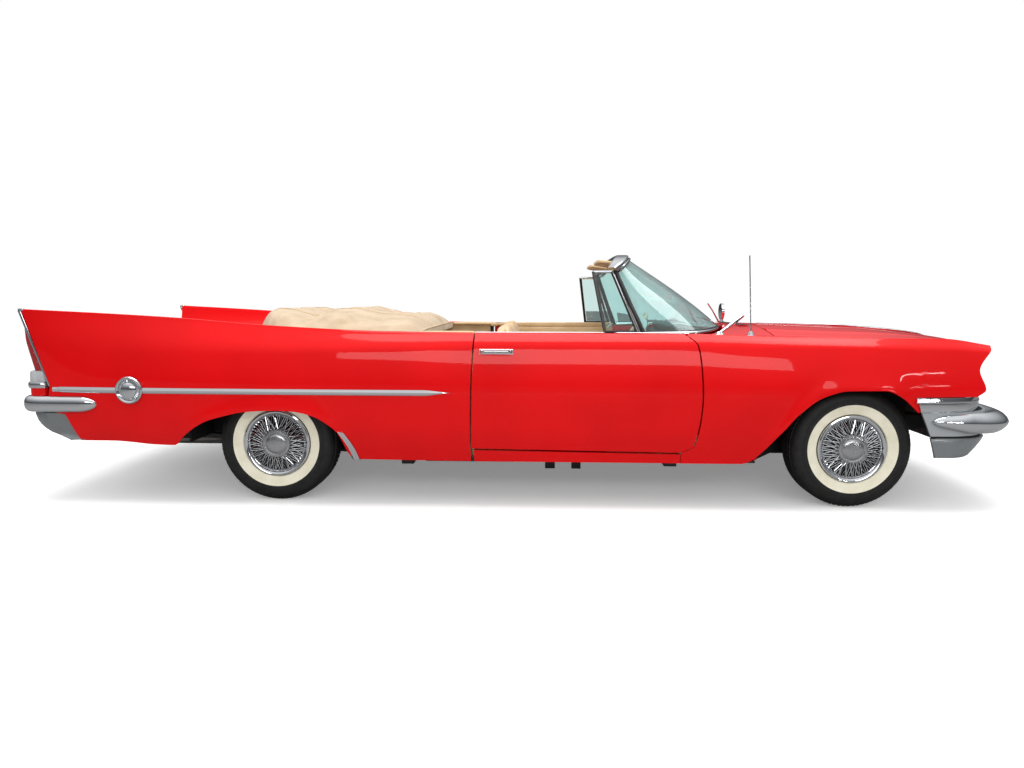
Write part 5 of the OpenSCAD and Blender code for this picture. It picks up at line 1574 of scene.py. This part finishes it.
shocks = both(bar([(-1330, -420, 350), (-1240, -400, 500), (-1225, -398, 520)], [24, 24, 16],
                  [24, 24, 16], 16, level=False))
piece("brake_line", [brake_line], satin_chrome)
piece("spring_clips", leaf_clips + u_bolts + shocks, chassis_black)
tips_out = both(placed(lathe([(25.2, 0), (28, 3), (30, 60), (30, 66), (22, 66), (22, 6)], 28),
                       (-2240, -490, 280), (0, -90, 0)))
piece("tail_pipe_tips", tips_out, chrome)
plate_frame = [block((2606, -156, z), (2612, 156, z + 6), 2) for z in (312, 402)]
piece("plate_bracket", plate_frame, silver)

# ---------------------------------------------------------------- hood and boot details

hood_bow = bar(through([(1520, 0, 996), (1900, 0, 988), (2300, 0, 962), (2560, 0, 931),
                        (2630, 0, 906)], 50), [4, 7, 9, 9, 6], [3, 4, 6, 7, 4], 14, 2.2)
hood_lip = bar(across_car([(2518, -600, 862), (2585, -480, 872), (2624, -300, 878),
                           (2636, 0, 880)], 60), [7], [5], 12, 3)
piece("hood_bright_strip", [hood_bow, hood_lip], chrome, "hood")
hood_ribs = [bar([(1500, s * 420, 940), (2000, s * 60, 944), (2400, s * 20, 918)], [26], [7], 10,
                 4) for s in (-1, 1)] + [bar([(1470, -560, 934), (1466, 0, 962), (1470, 560, 934)],
                                             [20], [7], 10, 4),
                                         bar([(2420, -500, 896), (2450, 0, 908), (2420, 500, 896)],
                                             [20], [7], 10, 4)]
piece("hood_inner_ribs", hood_ribs, enamel, "hood")
lid_badge = placed(pillow((7, 90, 15), (4, 24, 6), 3), (-2731, 0, 730))
lid_lock = placed(lathe([(0, 0), (15, 0), (14, 6), (8, 9), (0, 9)], 24), (-2729, 0, 672),
                  (0, -90, 0))
lid_strip = bar(across_car([(-2729, -560, 690), (-2735, 0, 690)], 30), [5], [7], 12, 3)
piece("boot_lid_bright_parts", [lid_badge, lid_lock, lid_strip], chrome, "boot_lid")
lid_ribs = [bar([(-1850, s * 520, 918), (-2200, s * 200, 918), (-2560, s * 520, 884)], [24], [6],
                10, 4) for s in (-1, 1)]
piece("boot_lid_inner_ribs", lid_ribs, enamel, "boot_lid")
piece("boot_lining", [block((-2560, -660, 421.5), (-1900, 660, 426), 2)], carpet)
MAT_FOOT, MAT_TOP = 262.5, 270
mats = both(block((520, -770, MAT_FOOT), (1240, -190, MAT_TOP), 3),
            block((-292, -760, MAT_FOOT), (20, -190, MAT_TOP), 3))
piece("floor_carpet", mats, carpet)
tunnel_carpet = [loft([[(x, y, z) for y, z in ((-172, 254), (-172, 396), (-160, 418), (-60, 424),
                                               (60, 424), (160, 418), (172, 396), (172, 254),
                                               (161, 254), (161, 413), (-161, 413), (-161, 254))]
                       for x in (-296, 1296)])]
piece("tunnel_carpet", tunnel_carpet, carpet)

# ---------------------------------------------------------------- stage, light and camera

# Matt white paper sweep: it takes the object's shadow and is white elsewhere.
paper, t, s, out = material("matt_white_paper", "FFFFFF", 0.9)
s.inputs["Specular IOR Level"].default_value = 0.0
seen = add(t, "ShaderNodeLightPath")
glow = add(t, "ShaderNodeEmission", {"Color": (1, 1, 1, 1), "Strength": 0.2})
lift = add(t, "ShaderNodeAddShader", {0: s.outputs["BSDF"], 1: glow.outputs["Emission"]})
dim = add(t, "ShaderNodeBsdfDiffuse", {"Color": (0.3, 0.3, 0.3, 1)})
mix = add(t, "ShaderNodeMixShader", {"Fac": seen.outputs["Is Camera Ray"],
          1: dim.outputs["BSDF"], 2: lift.outputs["Shader"]})
t.links.new(mix.outputs["Shader"], out.inputs["Surface"])
FLOOR = 60.0
floor_mesh = bpy.data.meshes.new("floor")
floor_mesh.from_pydata([(-FLOOR, -FLOOR, 0), (FLOOR, -FLOOR, 0), (FLOOR, FLOOR, 0),
                        (-FLOOR, FLOOR, 0)], [], [(0, 1, 2, 3)])
floor_mesh.materials.append(paper)
floor = in_scene("floor", floor_mesh)

world = bpy.data.worlds.new("studio")
bpy.context.scene.world = world
world.use_nodes = True
t = world.node_tree
t.nodes.clear()
sky = add(t, "ShaderNodeTexCoord")
height = add(t, "ShaderNodeSeparateXYZ", {"Vector": sky.outputs["Generated"]})
shade = add(t, "ShaderNodeValToRGB", {"Fac": height.outputs["Z"]})
shade.color_ramp.elements[0].position = 0.0
shade.color_ramp.elements[0].color = (0.04, 0.04, 0.045, 1)
shade.color_ramp.elements[1].position = 0.75
shade.color_ramp.elements[1].color = (1, 1, 1, 1)
middle = shade.color_ramp.elements.new(0.3)
middle.color = (0.3, 0.31, 0.32, 1)
path = add(t, "ShaderNodeLightPath")
plain = add(t, "ShaderNodeBackground", {"Color": (1, 1, 1, 1), "Strength": 0.85})
mirror = add(t, "ShaderNodeBackground", {"Color": shade.outputs["Color"], "Strength": 1.0})
white = add(t, "ShaderNodeBackground", {"Color": (1, 1, 1, 1), "Strength": 1.0})
with_gloss = add(t, "ShaderNodeMixShader", {"Fac": path.outputs["Is Glossy Ray"],
                 1: plain.outputs["Background"], 2: mirror.outputs["Background"]})
seen_white = add(t, "ShaderNodeMath", {0: path.outputs["Is Camera Ray"],
                 1: path.outputs["Is Transmission Ray"]}, operation="MAXIMUM")
with_view = add(t, "ShaderNodeMixShader", {"Fac": seen_white.outputs["Value"],
                1: with_gloss.outputs["Shader"], 2: white.outputs["Background"]})
add(t, "ShaderNodeOutputWorld", {"Surface": with_view.outputs["Shader"]})


def softbox(name, place, aim, width, height, power, mirrored_in_paint=True):
    """Area lamp aimed at a point, in metres and watts."""
    lamp = bpy.data.lights.new(name, "AREA")
    lamp.shape = "RECTANGLE"
    lamp.size, lamp.size_y, lamp.energy = width, height, power
    holder = in_scene(name, lamp)
    holder.location = place
    holder.rotation_euler = (Vector(aim) - Vector(place)).to_track_quat("-Z", "Y").to_euler()
    holder.visible_glossy = mirrored_in_paint


# Narrow tubes that draw thin bright lines along the front wing
for number, (place, aim, power) in enumerate([((5.8, -7.0, 2.6), (2.2, -0.9, 0.8), 13),
                                              ((5.8, -7.0, 1.2), (2.2, -0.9, 0.7), 7)]):
    softbox("tube_%d" % number, place, aim, 1.2, 0.09, power)
softbox("low_fill", (0, -7.0, 0.9), (0, 0, 0.5), 7.0, 1.2, 95, False)
softbox("overhead", (0, -0.6, 4.6), (0, -0.2, 0.4), 7.5, 2.6, 260)
softbox("front_fill", (0.5, -7.5, 3.2), (0, 0, 0.7), 7.0, 1.0, 105)

camera = bpy.data.cameras.new("camera")
LENS_MM, FRAME_MM = 25.84, 36
EYE = (0.091, -4.899, 1.153)
camera.lens, camera.sensor_width = LENS_MM, FRAME_MM
camera.clip_end = 200
eye = in_scene("camera", camera)
yaw, pitch, roll = (math.radians(a) for a in (-2.04, -6.696, 0.143))
ahead = Vector((math.sin(yaw) * math.cos(pitch), math.cos(yaw) * math.cos(pitch),
                math.sin(pitch)))
right = Vector((math.cos(yaw), -math.sin(yaw), 0))
up = right.cross(ahead)
across = math.cos(roll) * right + math.sin(roll) * up
upward = math.cos(roll) * up - math.sin(roll) * right
eye.matrix_world = Matrix.Translation(EYE) @ Matrix(
    (across, upward, -ahead)).transposed().to_4x4()
bpy.context.scene.camera = eye
bpy.context.scene.view_settings.view_transform = "Standard"
